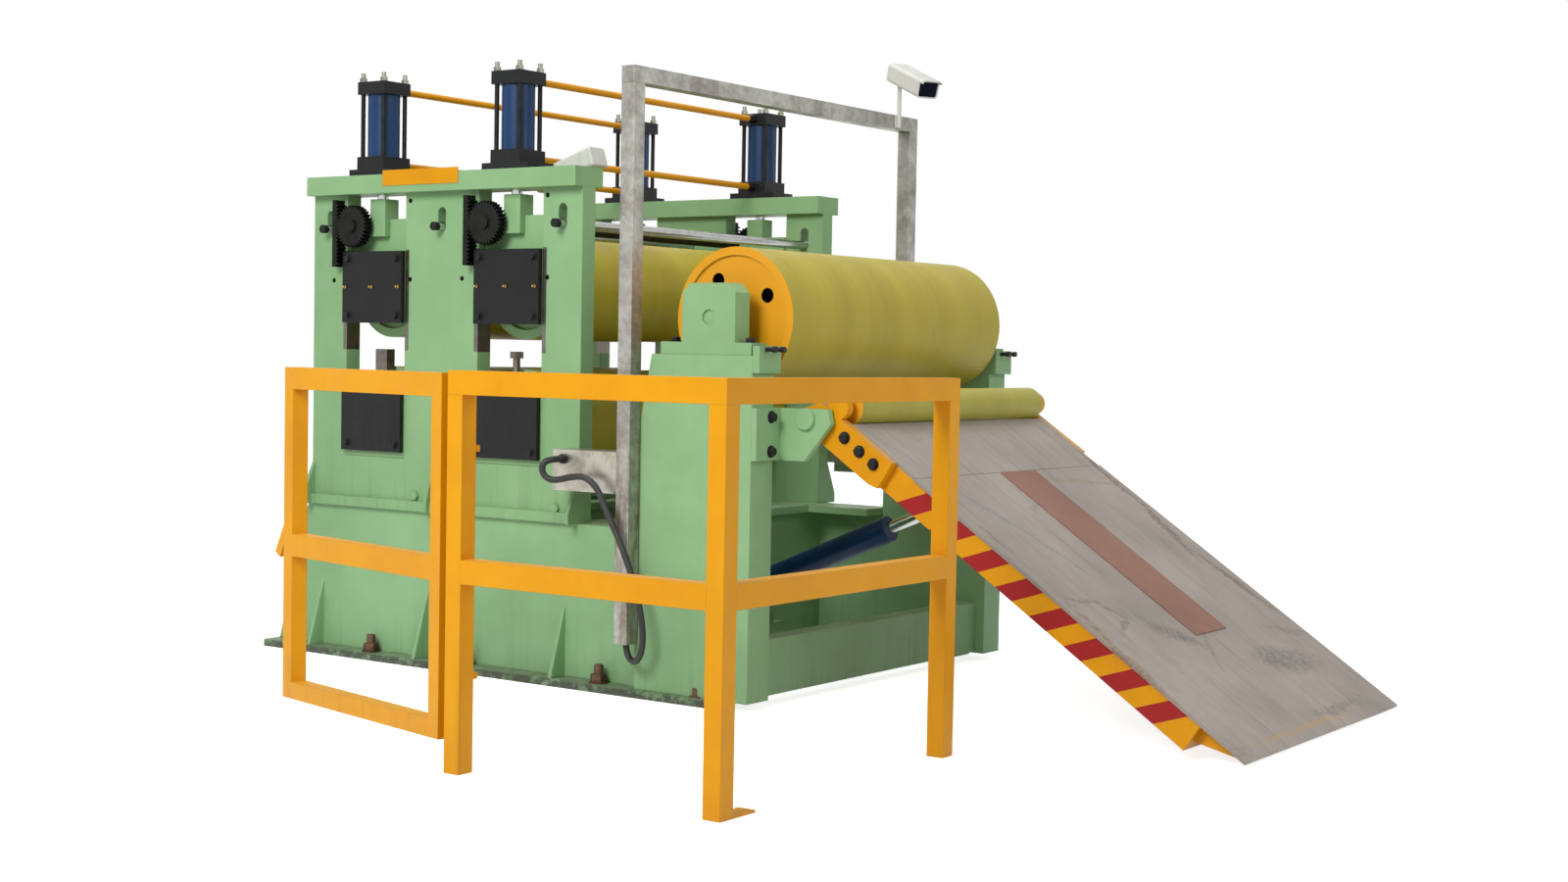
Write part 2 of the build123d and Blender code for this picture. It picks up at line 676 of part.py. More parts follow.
def involute_point(radius, half_angle):
    """Point of a gear tooth's flank at a radius; the tooth points along +X."""
    base = GEAR_PITCH_R * cos(radians(PRESSURE_ANGLE))
    at_pitch = tan(radians(PRESSURE_ANGLE)) - radians(PRESSURE_ANGLE)
    ratio = acos(min(1.0, base / radius))
    turn = half_angle + at_pitch - (tan(ratio) - ratio)
    return (radius * cos(turn), radius * sin(turn))


def gear_outline():
    """Adds a spur gear's outline: a root disc with involute teeth round it."""
    root = GEAR_PITCH_R - 1.25 * GEAR_MODULE
    tip = GEAR_PITCH_R + GEAR_MODULE
    base = GEAR_PITCH_R * cos(radians(PRESSURE_ANGLE))
    half_angle = (pi * GEAR_MODULE / 2 - BACKLASH) / 2 / GEAR_PITCH_R
    low = involute_point(base, half_angle)
    middle = involute_point((base + tip) / 2, half_angle)
    high = involute_point(tip, half_angle)
    inner = (root - 1, low[1])
    Circle(root)
    with PolarLocations(0, GEAR_TEETH):
        with BuildSketch(mode=Mode.PRIVATE) as tooth:
            with BuildLine():
                Line(inner, low)
                ThreePointArc(low, middle, high)
                Line(high, (high[0], -high[1]))
                ThreePointArc(
                    (high[0], -high[1]), (middle[0], -middle[1]), (low[0], -low[1])
                )
                Line((low[0], -low[1]), (inner[0], -inner[1]))
                Line((inner[0], -inner[1]), inner)
            make_face()
        add(tooth.sketch)


def sync_shaft(x, number):
    """Shaft through both upper chocks of a stand, with a gear at each end."""
    with BuildPart() as shaft:
        with BuildSketch(across(x + SYNC_OFFSET, SYNC_Z).offset(GEAR_BACK_Y)):
            gear_outline()
        extrude(amount=GEAR_WIDTH)
        with BuildSketch(across(x + SYNC_OFFSET, SYNC_Z).offset(GEAR_FRONT_Y)):
            Circle(GEAR_HUB_R)
        extrude(amount=8)
        mirror(about=Plane.XZ)
        with BuildSketch(across(x + SYNC_OFFSET, SYNC_Z)):
            Circle(SYNC_SHAFT_R)
        extrude(amount=GEAR_BACK_Y + 1, both=True)
    save(shaft, f"sync_shaft_{number}")


def racks():
    """Toothed racks on the housing faces, in mesh with the gears."""
    pitch = pi * GEAR_MODULE
    half = (pitch / 2 - BACKLASH) / 2
    slope = tan(radians(PRESSURE_ANGLE))
    root = -1.25 * GEAR_MODULE
    with BuildPart() as all_racks:
        for x in STAND_XS:
            line = x + SYNC_OFFSET - GEAR_PITCH_R
            with BuildSketch(Plane.XZ.offset(PLATE_OUTER_Y)):
                body_width = RACK_BACK + root
                with Locations(
                    (line + root - body_width / 2, (RACK_BOTTOM + RACK_TOP) / 2)
                ):
                    Rectangle(body_width, RACK_TOP - RACK_BOTTOM)
                first = int((RACK_BOTTOM + 6 - SYNC_Z) / pitch - 0.5)
                last = int((RACK_TOP - 6 - SYNC_Z) / pitch - 0.5)
                for k in range(first, last + 1):
                    z = SYNC_Z + (k + 0.5) * pitch
                    with BuildLine():
                        Polyline(
                            (line + root - 1, z - half + root * slope),
                            (line + root, z - half + root * slope),
                            (line + GEAR_MODULE, z - half + GEAR_MODULE * slope),
                            (line + GEAR_MODULE, z + half - GEAR_MODULE * slope),
                            (line + root, z + half - root * slope),
                            (line + root - 1, z + half - root * slope),
                            close=True,
                        )
                    make_face()
            extrude(amount=GEAR_FRONT_Y - PLATE_OUTER_Y)
        mirror(about=Plane.XZ)
    save(all_racks, "racks")


def lift_cylinders():
    """Four tie-rod cylinders: heads, barrels and the rods that hold them together."""
    centres = [(x, -CYL_Y) for x in STAND_XS]
    with BuildPart() as feet:
        with BuildSketch(Plane.XY.offset(CAP_TOP)):
            with Locations(*centres):
                Rectangle(CYL_FLANGE_LENGTH, CYL_FLANGE_WIDTH)
        extrude(amount=CYL_FLANGE_THICK)
        with BuildSketch(Plane.XY.offset(CAP_TOP + CYL_FLANGE_THICK)):
            with Locations(*centres):
                Rectangle(CYL_HEAD, CYL_HEAD)
        extrude(amount=CYL_HEAD_THICK)
        with BuildSketch(Plane.XY.offset(CAP_TOP)):
            with Locations(*centres):
                Circle(CYL_ROD_R + SHAFT_GAP)
        extrude(amount=CYL_FLANGE_THICK + CYL_HEAD_THICK, mode=Mode.SUBTRACT)
        mirror(about=Plane.XZ)
    save(feet, "cylinder_feet")
    with BuildPart() as tubes:
        with BuildSketch(Plane.XY.offset(CYL_TUBE_BOTTOM)):
            with Locations(*centres):
                Circle(CYL_TUBE_R)
                Circle(CYL_TUBE_R - CYL_TUBE_WALL, mode=Mode.SUBTRACT)
        extrude(amount=CYL_TUBE_LENGTH)
        mirror(about=Plane.XZ)
    save(tubes, "cylinder_tubes")
    with BuildPart() as heads:
        with BuildSketch(Plane.XY.offset(CYL_TUBE_TOP)):
            with Locations(*centres):
                Rectangle(CYL_HEAD, CYL_HEAD)
        extrude(amount=CYL_HEAD_THICK)
        mirror(about=Plane.XZ)
    save(heads, "cylinder_heads")
    corners = [
        (x + i * CYL_TIE_OFFSET, -CYL_Y + j * CYL_TIE_OFFSET)
        for x in STAND_XS
        for i in (-1, 1)
        for j in (-1, 1)
    ]
    with BuildPart() as rods:
        with BuildSketch(Plane.XY.offset(CYL_TUBE_BOTTOM)):
            with Locations(*corners):
                Circle(CYL_TIE_R)
        extrude(amount=CYL_TUBE_LENGTH)
        mirror(about=Plane.XZ)
    save(rods, "cylinder_tie_rods")
    with BuildPart() as nuts:
        with BuildSketch(Plane.XY.offset(CYL_TOP)):
            with Locations(*corners):
                RegularPolygon(CYL_NUT_R, 6)
        extrude(amount=CYL_NUT_HEIGHT)
        with BuildSketch(Plane.XY.offset(CYL_TOP + CYL_NUT_HEIGHT)):
            with Locations(*corners):
                Circle(CYL_TIE_R)
        extrude(amount=CYL_TIE_OVER - CYL_NUT_HEIGHT)
        mirror(about=Plane.XZ)
    save(nuts, "cylinder_nuts")


def air_pipes():
    """Pipes that join the near and far cylinders of each stand, top and bottom."""
    reach = CYL_Y - CYL_HEAD / 2
    low = CAP_TOP + CYL_FLANGE_THICK + CYL_HEAD_THICK / 2
    high = CYL_TUBE_TOP + CYL_HEAD_THICK / 2
    with BuildPart() as pipes:
        with BuildSketch(Plane.XZ):
            with Locations(*[(x, z) for x in STAND_XS for z in (low, high)]):
                Circle(AIR_PIPE_R)
        extrude(amount=reach, both=True)
    save(pipes, "air_pipes")


def stand_column():
    """Fabricated column that carries one end of the deflector roll."""
    with BuildPart() as column:
        with BuildSketch(Plane.XZ.offset(STAND_INNER_Y)):
            with BuildLine():
                Polyline(
                    (STAND_LEFT + FLAT_GAP, FOOT_THICK),
                    (STAND_RIGHT, FOOT_THICK),
                    (STAND_RIGHT, STAND_TOP),
                    (STAND_LEFT_TOP, STAND_TOP),
                    (STAND_LEFT_SHOULDER, STAND_SHOULDER_Z),
                    (STAND_LEFT + FLAT_GAP, BASE_HEIGHT),
                    close=True,
                )
            make_face()
        extrude(amount=STAND_OUTER_Y - STAND_INNER_Y)
    return column


def stands():
    """Columns on both sides and the beam that ties their feet."""
    near = stand_column()
    save(near, "stand_near")
    with BuildPart() as far:
        add(near.part.mirror(Plane.XZ))
    save(far, "stand_far")
    with BuildPart() as beam:
        with BuildSketch(Plane.XZ):
            width = STAND_BEAM_RIGHT - STAND_BEAM_LEFT
            height = STAND_BEAM_TOP - STAND_BEAM_BOTTOM
            with Locations(
                (STAND_BEAM_LEFT + width / 2, STAND_BEAM_BOTTOM + height / 2)
            ):
                Rectangle(width, height)
        extrude(amount=STAND_INNER_Y, both=True)
    save(beam, "stand_beam")


def pillow_blocks():
    """Blocks that hold the ends of the deflector roll's shaft."""
    with BuildPart() as blocks:
        with BuildSketch(Plane.XZ.offset(PILLOW_INNER_Y)):
            width = PILLOW_BASE_RIGHT - PILLOW_BASE_LEFT
            with Locations(
                (PILLOW_BASE_LEFT + width / 2, STAND_TOP + PILLOW_BASE_THICK / 2)
            ):
                Rectangle(width, PILLOW_BASE_THICK)
            left = DEFLECTOR_X - PILLOW_HALF_WIDTH
            right = DEFLECTOR_X + PILLOW_HALF_WIDTH
            with BuildLine():
                Polyline(
                    (left, STAND_TOP),
                    (right, STAND_TOP),
                    (right, PILLOW_TOP - PILLOW_CHAMFER),
                    (right - PILLOW_CHAMFER, PILLOW_TOP),
                    (left + PILLOW_CHAMFER, PILLOW_TOP),
                    (left, PILLOW_TOP - PILLOW_CHAMFER),
                    close=True,
                )
            make_face()
        extrude(amount=PILLOW_OUTER_Y - PILLOW_INNER_Y)
        with BuildSketch(across(DEFLECTOR_X, DEFLECTOR_Z).offset(PILLOW_INNER_Y)):
            Circle(DEFLECTOR_SHAFT_R + SHAFT_GAP)
        extrude(
            amount=PILLOW_OUTER_Y - PILLOW_EYE_DEPTH - 6 - PILLOW_INNER_Y,
            mode=Mode.SUBTRACT,
        )
        with BuildSketch(across(DEFLECTOR_X, DEFLECTOR_Z).offset(PILLOW_OUTER_Y)):
            Circle(PILLOW_EYE_R)
        extrude(amount=-PILLOW_EYE_DEPTH, mode=Mode.SUBTRACT)
        mirror(about=Plane.XZ)
    save(blocks, "pillow_blocks")


def adjusters():
    """Blocks on the column sides with set screws that align the pillow blocks."""
    with BuildPart() as blocks:
        depth = STAND_OUTER_Y - STAND_INNER_Y
        with BuildSketch(Plane.XZ.offset(STAND_INNER_Y)):
            with Locations(
                (STAND_RIGHT + ADJUSTER_THICK / 2, ADJUSTER_TOP - ADJUSTER_HEIGHT / 2)
            ):
                Rectangle(ADJUSTER_THICK, ADJUSTER_HEIGHT)
        extrude(amount=depth)
        mirror(about=Plane.XZ)
    save(blocks, "adjusting_blocks")
    with BuildPart() as screws:
        screw_z = STAND_TOP + PILLOW_BASE_THICK / 2
        start = STAND_RIGHT + ADJUSTER_THICK
        for y in (-860.0, -810.0):
            with BuildSketch(Plane.YZ.offset(start)):
                with Locations((y, screw_z)):
                    Circle(SET_SCREW_R)
            extrude(amount=30)
            with BuildSketch(Plane.YZ.offset(start + 30)):
                with Locations((y, screw_z)):
                    RegularPolygon(SET_SCREW_HEAD_R, 6)
            extrude(amount=14)
        mirror(about=Plane.XZ)
    save(screws, "set_screws")


def deflector_roll():
    """Large covered roll with stepped end discs and round lightening holes."""
    shaft_half = PILLOW_OUTER_Y - PILLOW_EYE_DEPTH - 9
    with BuildPart() as roll:
        with BuildSketch(across(DEFLECTOR_X, DEFLECTOR_Z)):
            Circle(DEFLECTOR_R)
        extrude(amount=DEFLECTOR_FACE_HALF, both=True)
        for side in (1, -1):
            face = across(DEFLECTOR_X, DEFLECTOR_Z).offset(side * DEFLECTOR_FACE_HALF)
            with BuildSketch(face):
                Circle(DEFLECTOR_DISC_R)
            extrude(amount=-side * DEFLECTOR_DISC_DEPTH, mode=Mode.SUBTRACT)
            with BuildSketch(face):
                with PolarLocations(DEFLECTOR_HOLE_PITCH_R, DEFLECTOR_HOLES, 31.0):
                    Circle(DEFLECTOR_HOLE_R)
            extrude(amount=-side * 60, mode=Mode.SUBTRACT)
        with BuildSketch(across(DEFLECTOR_X, DEFLECTOR_Z)):
            Circle(DEFLECTOR_SHAFT_R)
        extrude(amount=shaft_half, both=True)
    save(roll, "deflector_roll")


def table_brackets():
    """Flanged plates on the columns that hold the hinge pins of the table."""
    outer = BRACKET_INNER_Y + BRACKET_PLATE
    with BuildPart() as brackets:
        with BuildSketch(Plane.YZ.offset(STAND_RIGHT)):
            height = BRACKET_TOP - BRACKET_BOTTOM
            width = STAND_OUTER_Y - BRACKET_INNER_Y
            with Locations(
                (-BRACKET_INNER_Y - width / 2, BRACKET_BOTTOM + height / 2)
            ):
                Rectangle(width, height)
        extrude(amount=BRACKET_FLANGE_THICK)
        with BuildSketch(Plane.XZ.offset(BRACKET_INNER_Y)):
            left = STAND_RIGHT + BRACKET_FLANGE_THICK
            right = PIVOT_X + BRACKET_REACH
            with BuildLine():
                Polyline(
                    (left, BRACKET_BOTTOM),
                    (right - 110, BRACKET_BOTTOM),
                    (right, BRACKET_TOP - 52),
                    (right - 12, BRACKET_TOP),
                    (left, BRACKET_TOP),
                    close=True,
                )
            make_face()
            with Locations((PIVOT_X, PIVOT_Z)):
                Circle(PIVOT_R + SHAFT_GAP, mode=Mode.SUBTRACT)
        extrude(amount=BRACKET_PLATE)
        with BuildSketch(across(PIVOT_X, PIVOT_Z).offset(outer)):
            Circle(BOSS_R)
        extrude(amount=BOSS_PROUD)
        mirror(about=Plane.XZ)
    save(brackets, "table_brackets")


def table():
    """Tilting table: side arms on the hinge pins, a welded frame and deck plates."""
    arm_outer = FRAME_SIDE_Y + ARM_THICK
    with BuildPart() as frame:
        frame_top = DECK_TOP - DECK_THICK
        height = frame_top - FRAME_BOTTOM
        with BuildSketch(table_plane()):
            with Locations(
                ((FRAME_START + FRAME_END) / 2, FRAME_BOTTOM + height / 2)
            ):
                Rectangle(FRAME_END - FRAME_START, height)
        extrude(amount=FRAME_SIDE_Y, both=True)
        bays = zip(FRAME_CROSS_U[:-1], FRAME_CROSS_U[1:])
        for low, high in bays:
            with BuildSketch(table_plane()):
                with Locations(((low + high) / 2, FRAME_BOTTOM + height / 2)):
                    Rectangle(high - low - FRAME_TUBE, height + 20)
            extrude(amount=FRAME_SIDE_Y - FRAME_TUBE, both=True, mode=Mode.SUBTRACT)
        for y in (-TIP_RIB_Y, 0, TIP_RIB_Y):
            with BuildSketch(table_plane(y)):
                with BuildLine():
                    Polyline(
                        (FRAME_END - 10, FRAME_BOTTOM + 30),
                        (FRAME_END, FRAME_BOTTOM + 30),
                        (DECK_END - 12, frame_top - 8),
                        (DECK_END - 12, frame_top),
                        (FRAME_END - 10, frame_top),
                        close=True,
                    )
                make_face()
            extrude(amount=TIP_RIB_THICK / 2, both=True)
        for side in (-1, 1):
            arm_middle = side * (FRAME_SIDE_Y + ARM_THICK / 2)
            with BuildSketch(table_plane(arm_middle)):
                with BuildLine():
                    Polyline(
                        (ARM_START + 30, ARM_BOTTOM),
                        (ARM_END - 40, ARM_BOTTOM),
                        (ARM_END, FRAME_BOTTOM + 4),
                        (ARM_END, DECK_TOP - 2),
                        (ARM_START + 46, DECK_TOP - 2),
                        (ARM_START, DECK_TOP - 60),
                        (ARM_START, ARM_BOTTOM + 34),
                        close=True,
                    )
                make_face()
                with Locations((TABLE_ROLLER_U, TABLE_ROLLER_V)):
                    Circle(ROLLER_EAR_R)
            extrude(amount=ARM_THICK / 2, both=True)
            with BuildSketch(table_plane(side * (arm_outer + PIN_LENGTH / 2))):
                Circle(PIVOT_R)
            extrude(amount=PIN_LENGTH / 2, both=True)
        with BuildSketch(table_plane()):
            with Locations((TABLE_ROLLER_U, TABLE_ROLLER_V)):
                Circle(TABLE_ROLLER_SHAFT_R + SHAFT_GAP)
        extrude(amount=arm_outer - 4, both=True, mode=Mode.SUBTRACT)
        for side in (-1, 1):
            lug_offset = side * (RAM_EYE_HALF + 4 + RAM_LUG_THICK / 2)
            with BuildSketch(table_plane(lug_offset)):
                with BuildLine():
                    Polyline(
                        (FRAME_CROSS_U[0], frame_top - 5),
                        (FRAME_CROSS_U[0], frame_top - 40),
                        (RAM_LUG_U - 80, frame_top - 40),
                        (RAM_LUG_U - 38, RAM_LUG_V - 38),
                        (RAM_LUG_U + 38, RAM_LUG_V - 38),
                        (RAM_LUG_U + 80, frame_top - 40),
                        (FRAME_CROSS_U[1], frame_top - 40),
                        (FRAME_CROSS_U[1], frame_top - 5),
                        close=True,
                    )
                make_face()
                with Locations((RAM_LUG_U, RAM_LUG_V)):
                    Circle(RAM_PIN_R, mode=Mode.SUBTRACT)
            extrude(amount=RAM_LUG_THICK / 2, both=True)
    save(frame, "table_frame")
    with BuildPart() as deck:
        plates = ((DECK_START, DECK_JOINT), (DECK_JOINT + DECK_SPLIT, DECK_END))
        for start, end in plates:
            with BuildSketch(table_plane()):
                with Locations(((start + end) / 2, DECK_TOP - DECK_THICK / 2)):
                    Rectangle(end - start, DECK_THICK)
            half_width = DECK_HALF_WIDTH if start > ARM_END else FRAME_SIDE_Y - FLAT_GAP
            extrude(amount=half_width, both=True)
    save(deck, "table_deck")
    with BuildPart() as strip:
        with BuildSketch(table_plane(-STRIP_HIGH_Y)):
            with Locations(
                ((STRIP_START + STRIP_END) / 2, DECK_TOP + STRIP_THICK / 2)
            ):
                Rectangle(STRIP_END - STRIP_START, STRIP_THICK)
        extrude(amount=STRIP_HIGH_Y - STRIP_LOW_Y)
    save(strip, "deck_strip")
    with BuildPart() as roller:
        with BuildSketch(table_plane()):
            with Locations((TABLE_ROLLER_U, TABLE_ROLLER_V)):
                Circle(TABLE_ROLLER_R)
        extrude(amount=TABLE_ROLLER_HALF, both=True)
        with BuildSketch(table_plane()):
            with Locations((TABLE_ROLLER_U, TABLE_ROLLER_V)):
                Circle(TABLE_ROLLER_SHAFT_R)
        extrude(amount=FRAME_SIDE_Y + ARM_THICK - 6, both=True)
    save(roller, "table_roller")


def table_cylinder():
    """Hydraulic cylinder that tilts the table, on a foot between the side beams."""
    with BuildPart() as barrel:
        with BuildSketch(ram_plane().rotated((0, 0, 0))):
            Circle(RAM_EYE_R)
            with Locations((RAM_BARREL_START / 2, 0)):
                Rectangle(RAM_BARREL_START, 1.4 * RAM_EYE_R)
            Circle(RAM_PIN_R + SHAFT_GAP, mode=Mode.SUBTRACT)
        extrude(amount=RAM_EYE_HALF, both=True)
        along = ram_plane()
        tube = Plane(origin=along.from_local_coords((RAM_BARREL_START, 0, 0)),
                     x_dir=along.y_dir, z_dir=along.x_dir)
        with BuildSketch(tube):
            Circle(RAM_BARREL_R)
        extrude(amount=RAM_BARREL_END - RAM_BARREL_START)
        with BuildSketch(tube.offset(20)):
            Circle(RAM_BARREL_R - RAM_BARREL_WALL)
        extrude(amount=RAM_BARREL_END - RAM_BARREL_START - 50, mode=Mode.SUBTRACT)
        with BuildSketch(tube.offset(RAM_BARREL_END - RAM_BARREL_START)):
            Circle(RAM_ROD_R + SHAFT_GAP)
        extrude(amount=-40, mode=Mode.SUBTRACT)
    save(barrel, "table_cylinder_barrel")
    with BuildPart() as rod:
        piston_at = RAM_BARREL_START + 330
        piston = Plane(origin=along.from_local_coords((piston_at, 0, 0)),
                       x_dir=along.y_dir, z_dir=along.x_dir)
        with BuildSketch(piston):
            Circle(RAM_BARREL_R - RAM_BARREL_WALL - SHAFT_GAP)
        extrude(amount=RAM_PISTON_THICK)
        with BuildSketch(piston):
            Circle(RAM_ROD_R)
        extrude(amount=RAM_LENGTH - piston_at - RAM_EYE_R / 2)
        with BuildSketch(ram_plane()):
            with Locations((RAM_LENGTH, 0)):
                Circle(RAM_EYE_R)
                Circle(RAM_PIN_R, mode=Mode.SUBTRACT)
        extrude(amount=RAM_EYE_HALF, both=True)
        with BuildSketch(ram_plane()):
            with Locations((RAM_LENGTH, 0)):
                Circle(RAM_PIN_R)
        extrude(amount=RAM_EYE_HALF, both=True, mode=Mode.SUBTRACT)
    save(rod, "table_cylinder_rod")
    with BuildPart() as foot:
        inner = RAM_EYE_HALF + 2
        for side in (-1, 1):
            with BuildSketch(Plane.XZ.offset(side * (inner + RAM_LUG_THICK / 2))):
                with BuildLine():
                    Polyline(
                        (RAM_FOOT_X - 130, RAM_FOOT_Z - 150),
                        (RAM_FOOT_X + 60, RAM_FOOT_Z - 150),
                        (RAM_FOOT_X + 44, RAM_FOOT_Z + 44),
                        (RAM_FOOT_X - 44, RAM_FOOT_Z + 44),
                        close=True,
                    )
                make_face()
            extrude(amount=RAM_LUG_THICK / 2, both=True)
        with BuildSketch(across(RAM_FOOT_X, RAM_FOOT_Z)):
            Circle(RAM_PIN_R)
        extrude(amount=inner + RAM_LUG_THICK + 10, both=True)
        cross_face = CROSS_X[2] + CROSS_THICK / 2
        with BuildSketch(Plane.XY.offset(RAM_FOOT_Z - 150)):
            with Locations(((cross_face + RAM_FOOT_X + 60) / 2, 0)):
                Rectangle(RAM_FOOT_X + 60 - cross_face, 260)
        extrude(amount=-30)
    save(foot, "table_cylinder_foot")


def gantry():
    """Portal of square tube across the machine, open at the bottom of each post."""
    inner = GANTRY_TUBE - 2 * GANTRY_WALL
    post_y = GANTRY_OUTER_Y - GANTRY_TUBE / 2
    beam_bottom = GANTRY_TOP - GANTRY_TUBE
    for name, y in (("near", -post_y), ("far", post_y)):
        with BuildPart() as post:
            with BuildSketch(Plane.XY.offset(GANTRY_BOTTOM)):
                with Locations((GANTRY_X, y)):
                    Rectangle(GANTRY_TUBE, GANTRY_TUBE)
                    Rectangle(inner, inner, mode=Mode.SUBTRACT)
            extrude(amount=beam_bottom - GANTRY_BOTTOM)
        save(post, f"gantry_post_{name}")
    with BuildPart() as beam:
        with BuildSketch(Plane.XZ):
            with Locations((GANTRY_X, GANTRY_TOP - GANTRY_TUBE / 2)):
                Rectangle(GANTRY_TUBE, GANTRY_TUBE)
                Rectangle(inner, inner, mode=Mode.SUBTRACT)
        extrude(amount=GANTRY_OUTER_Y, both=True)
    save(beam, "gantry_beam")


def gantry_boxes():
    """Folded steel boxes and angles that hold the posts to the housings."""
    post_left = GANTRY_X - GANTRY_TUBE / 2
    with BuildPart() as boxes:
        front = PLATE_OUTER_Y + BOX_DEPTH
        with BuildSketch(Plane.XZ.offset(PLATE_OUTER_Y)):
            with Locations(
                ((BOX_LEFT + post_left) / 2, (BOX_BOTTOM + BOX_TOP) / 2)
            ):
                Rectangle(post_left - BOX_LEFT, BOX_TOP - BOX_BOTTOM)
        extrude(amount=BOX_DEPTH)
        with BuildSketch(Plane.XZ.offset(front - SHELF_THICK)):
            with Locations(
                ((BOX_LEFT + post_left) / 2, (SHELF_BOTTOM + BOX_BOTTOM) / 2)
            ):
                Rectangle(post_left - BOX_LEFT, BOX_BOTTOM - SHELF_BOTTOM)
        extrude(amount=SHELF_THICK)
        mirror(about=Plane.XZ)
    save(boxes, "gantry_boxes")


def cameras():
    """Two weatherproof camera housings: one on the gantry, one on the near cap."""
    rod = (GANTRY_X + CAMERA_ROD_OFFSET, FAR_CAMERA_Y)
    with BuildPart() as far_camera:
        with BuildSketch(Plane.XY.offset(GANTRY_TOP)):
            with Locations(rod):
                Circle(CAMERA_ROD_R)
        extrude(amount=FAR_CAMERA_RISE - FAR_CAMERA_HEIGHT / 2 + CAMERA_ROD_IN)
        with BuildSketch(Plane.YZ.offset(GANTRY_X - GANTRY_TUBE / 2)):
            with Locations((FAR_CAMERA_Y, GANTRY_TOP + FAR_CAMERA_RISE)):
                RectangleRounded(FAR_CAMERA_WIDTH, FAR_CAMERA_HEIGHT, FAR_CAMERA_CORNER)
        extrude(amount=FAR_CAMERA_LENGTH)
    save(far_camera, "camera_far")
    pad_x = NEAR_CAMERA_X + NEAR_CAMERA_LENGTH * 2 / 3
    pad_y = CAP_WIDTH - CAP_OUTER_Y - CAMERA_PAD / 2
    with BuildPart() as near_camera:
        with BuildSketch(Plane.XY.offset(CAP_TOP)):
            with Locations((pad_x, pad_y)):
                Rectangle(CAMERA_PAD, CAMERA_PAD)
        extrude(amount=CAMERA_PAD_THICK)
        with BuildSketch(Plane.YZ.offset(NEAR_CAMERA_X)):
            middle = CAP_TOP + CAMERA_PAD_THICK + NEAR_CAMERA_HEIGHT / 2
            with Locations((pad_y, middle)):
                RectangleRounded(NEAR_CAMERA_WIDTH, NEAR_CAMERA_HEIGHT, NEAR_CAMERA_CORNER)
        extrude(amount=NEAR_CAMERA_LENGTH)
    save(near_camera, "camera_near")


def guard():
    """Welded guard rail of square tube: three posts and two pairs of rails."""
    rail_bottom = RAIL_TOP - RAIL_HEIGHT
    spots = (
        (GUARD_LEFT_X, GUARD_Y),
        (GUARD_RIGHT_X, GUARD_Y),
        (GUARD_RIGHT_X, GUARD_END_Y),
    )
    with BuildPart() as posts:
        with BuildSketch():
            with Locations(*spots):
                Rectangle(RAIL_TUBE, RAIL_TUBE)
        extrude(amount=rail_bottom)
    save(posts, "guard_posts")
    with BuildPart() as rails:
        front_length = GUARD_RIGHT_X - GUARD_LEFT_X
        side_length = GUARD_END_Y - GUARD_Y
        with BuildSketch(Plane.XY.offset(rail_bottom)):
            with Locations(((GUARD_LEFT_X + GUARD_RIGHT_X) / 2, GUARD_Y)):
                Rectangle(front_length + RAIL_TUBE, RAIL_TUBE)
            with Locations((GUARD_RIGHT_X, (GUARD_Y + GUARD_END_Y) / 2)):
                Rectangle(RAIL_TUBE, side_length + RAIL_TUBE)
        extrude(amount=RAIL_HEIGHT)
    save(rails, "guard_top_rail")
    with BuildPart() as middle:
        with BuildSketch(Plane.XY.offset(MID_RAIL_TOP)):
            with Locations(((GUARD_LEFT_X + GUARD_RIGHT_X) / 2, GUARD_Y)):
                Rectangle(front_length - RAIL_TUBE, RAIL_TUBE)
            with Locations((GUARD_RIGHT_X, (GUARD_Y + GUARD_END_Y) / 2)):
                Rectangle(RAIL_TUBE, side_length - RAIL_TUBE)
        extrude(amount=-RAIL_HEIGHT)
    save(middle, "guard_middle_rails")


def gate_plane():
    """Upright plane along the gate, with its origin at the foot of the hinge pins."""
    angle = radians(GATE_AJAR)
    return Plane(
        origin=(GATE_HINGE_X, GATE_HINGE_Y, 0),
        x_dir=(-cos(angle), sin(angle), 0),
        z_dir=(sin(angle), cos(angle), 0),
    )


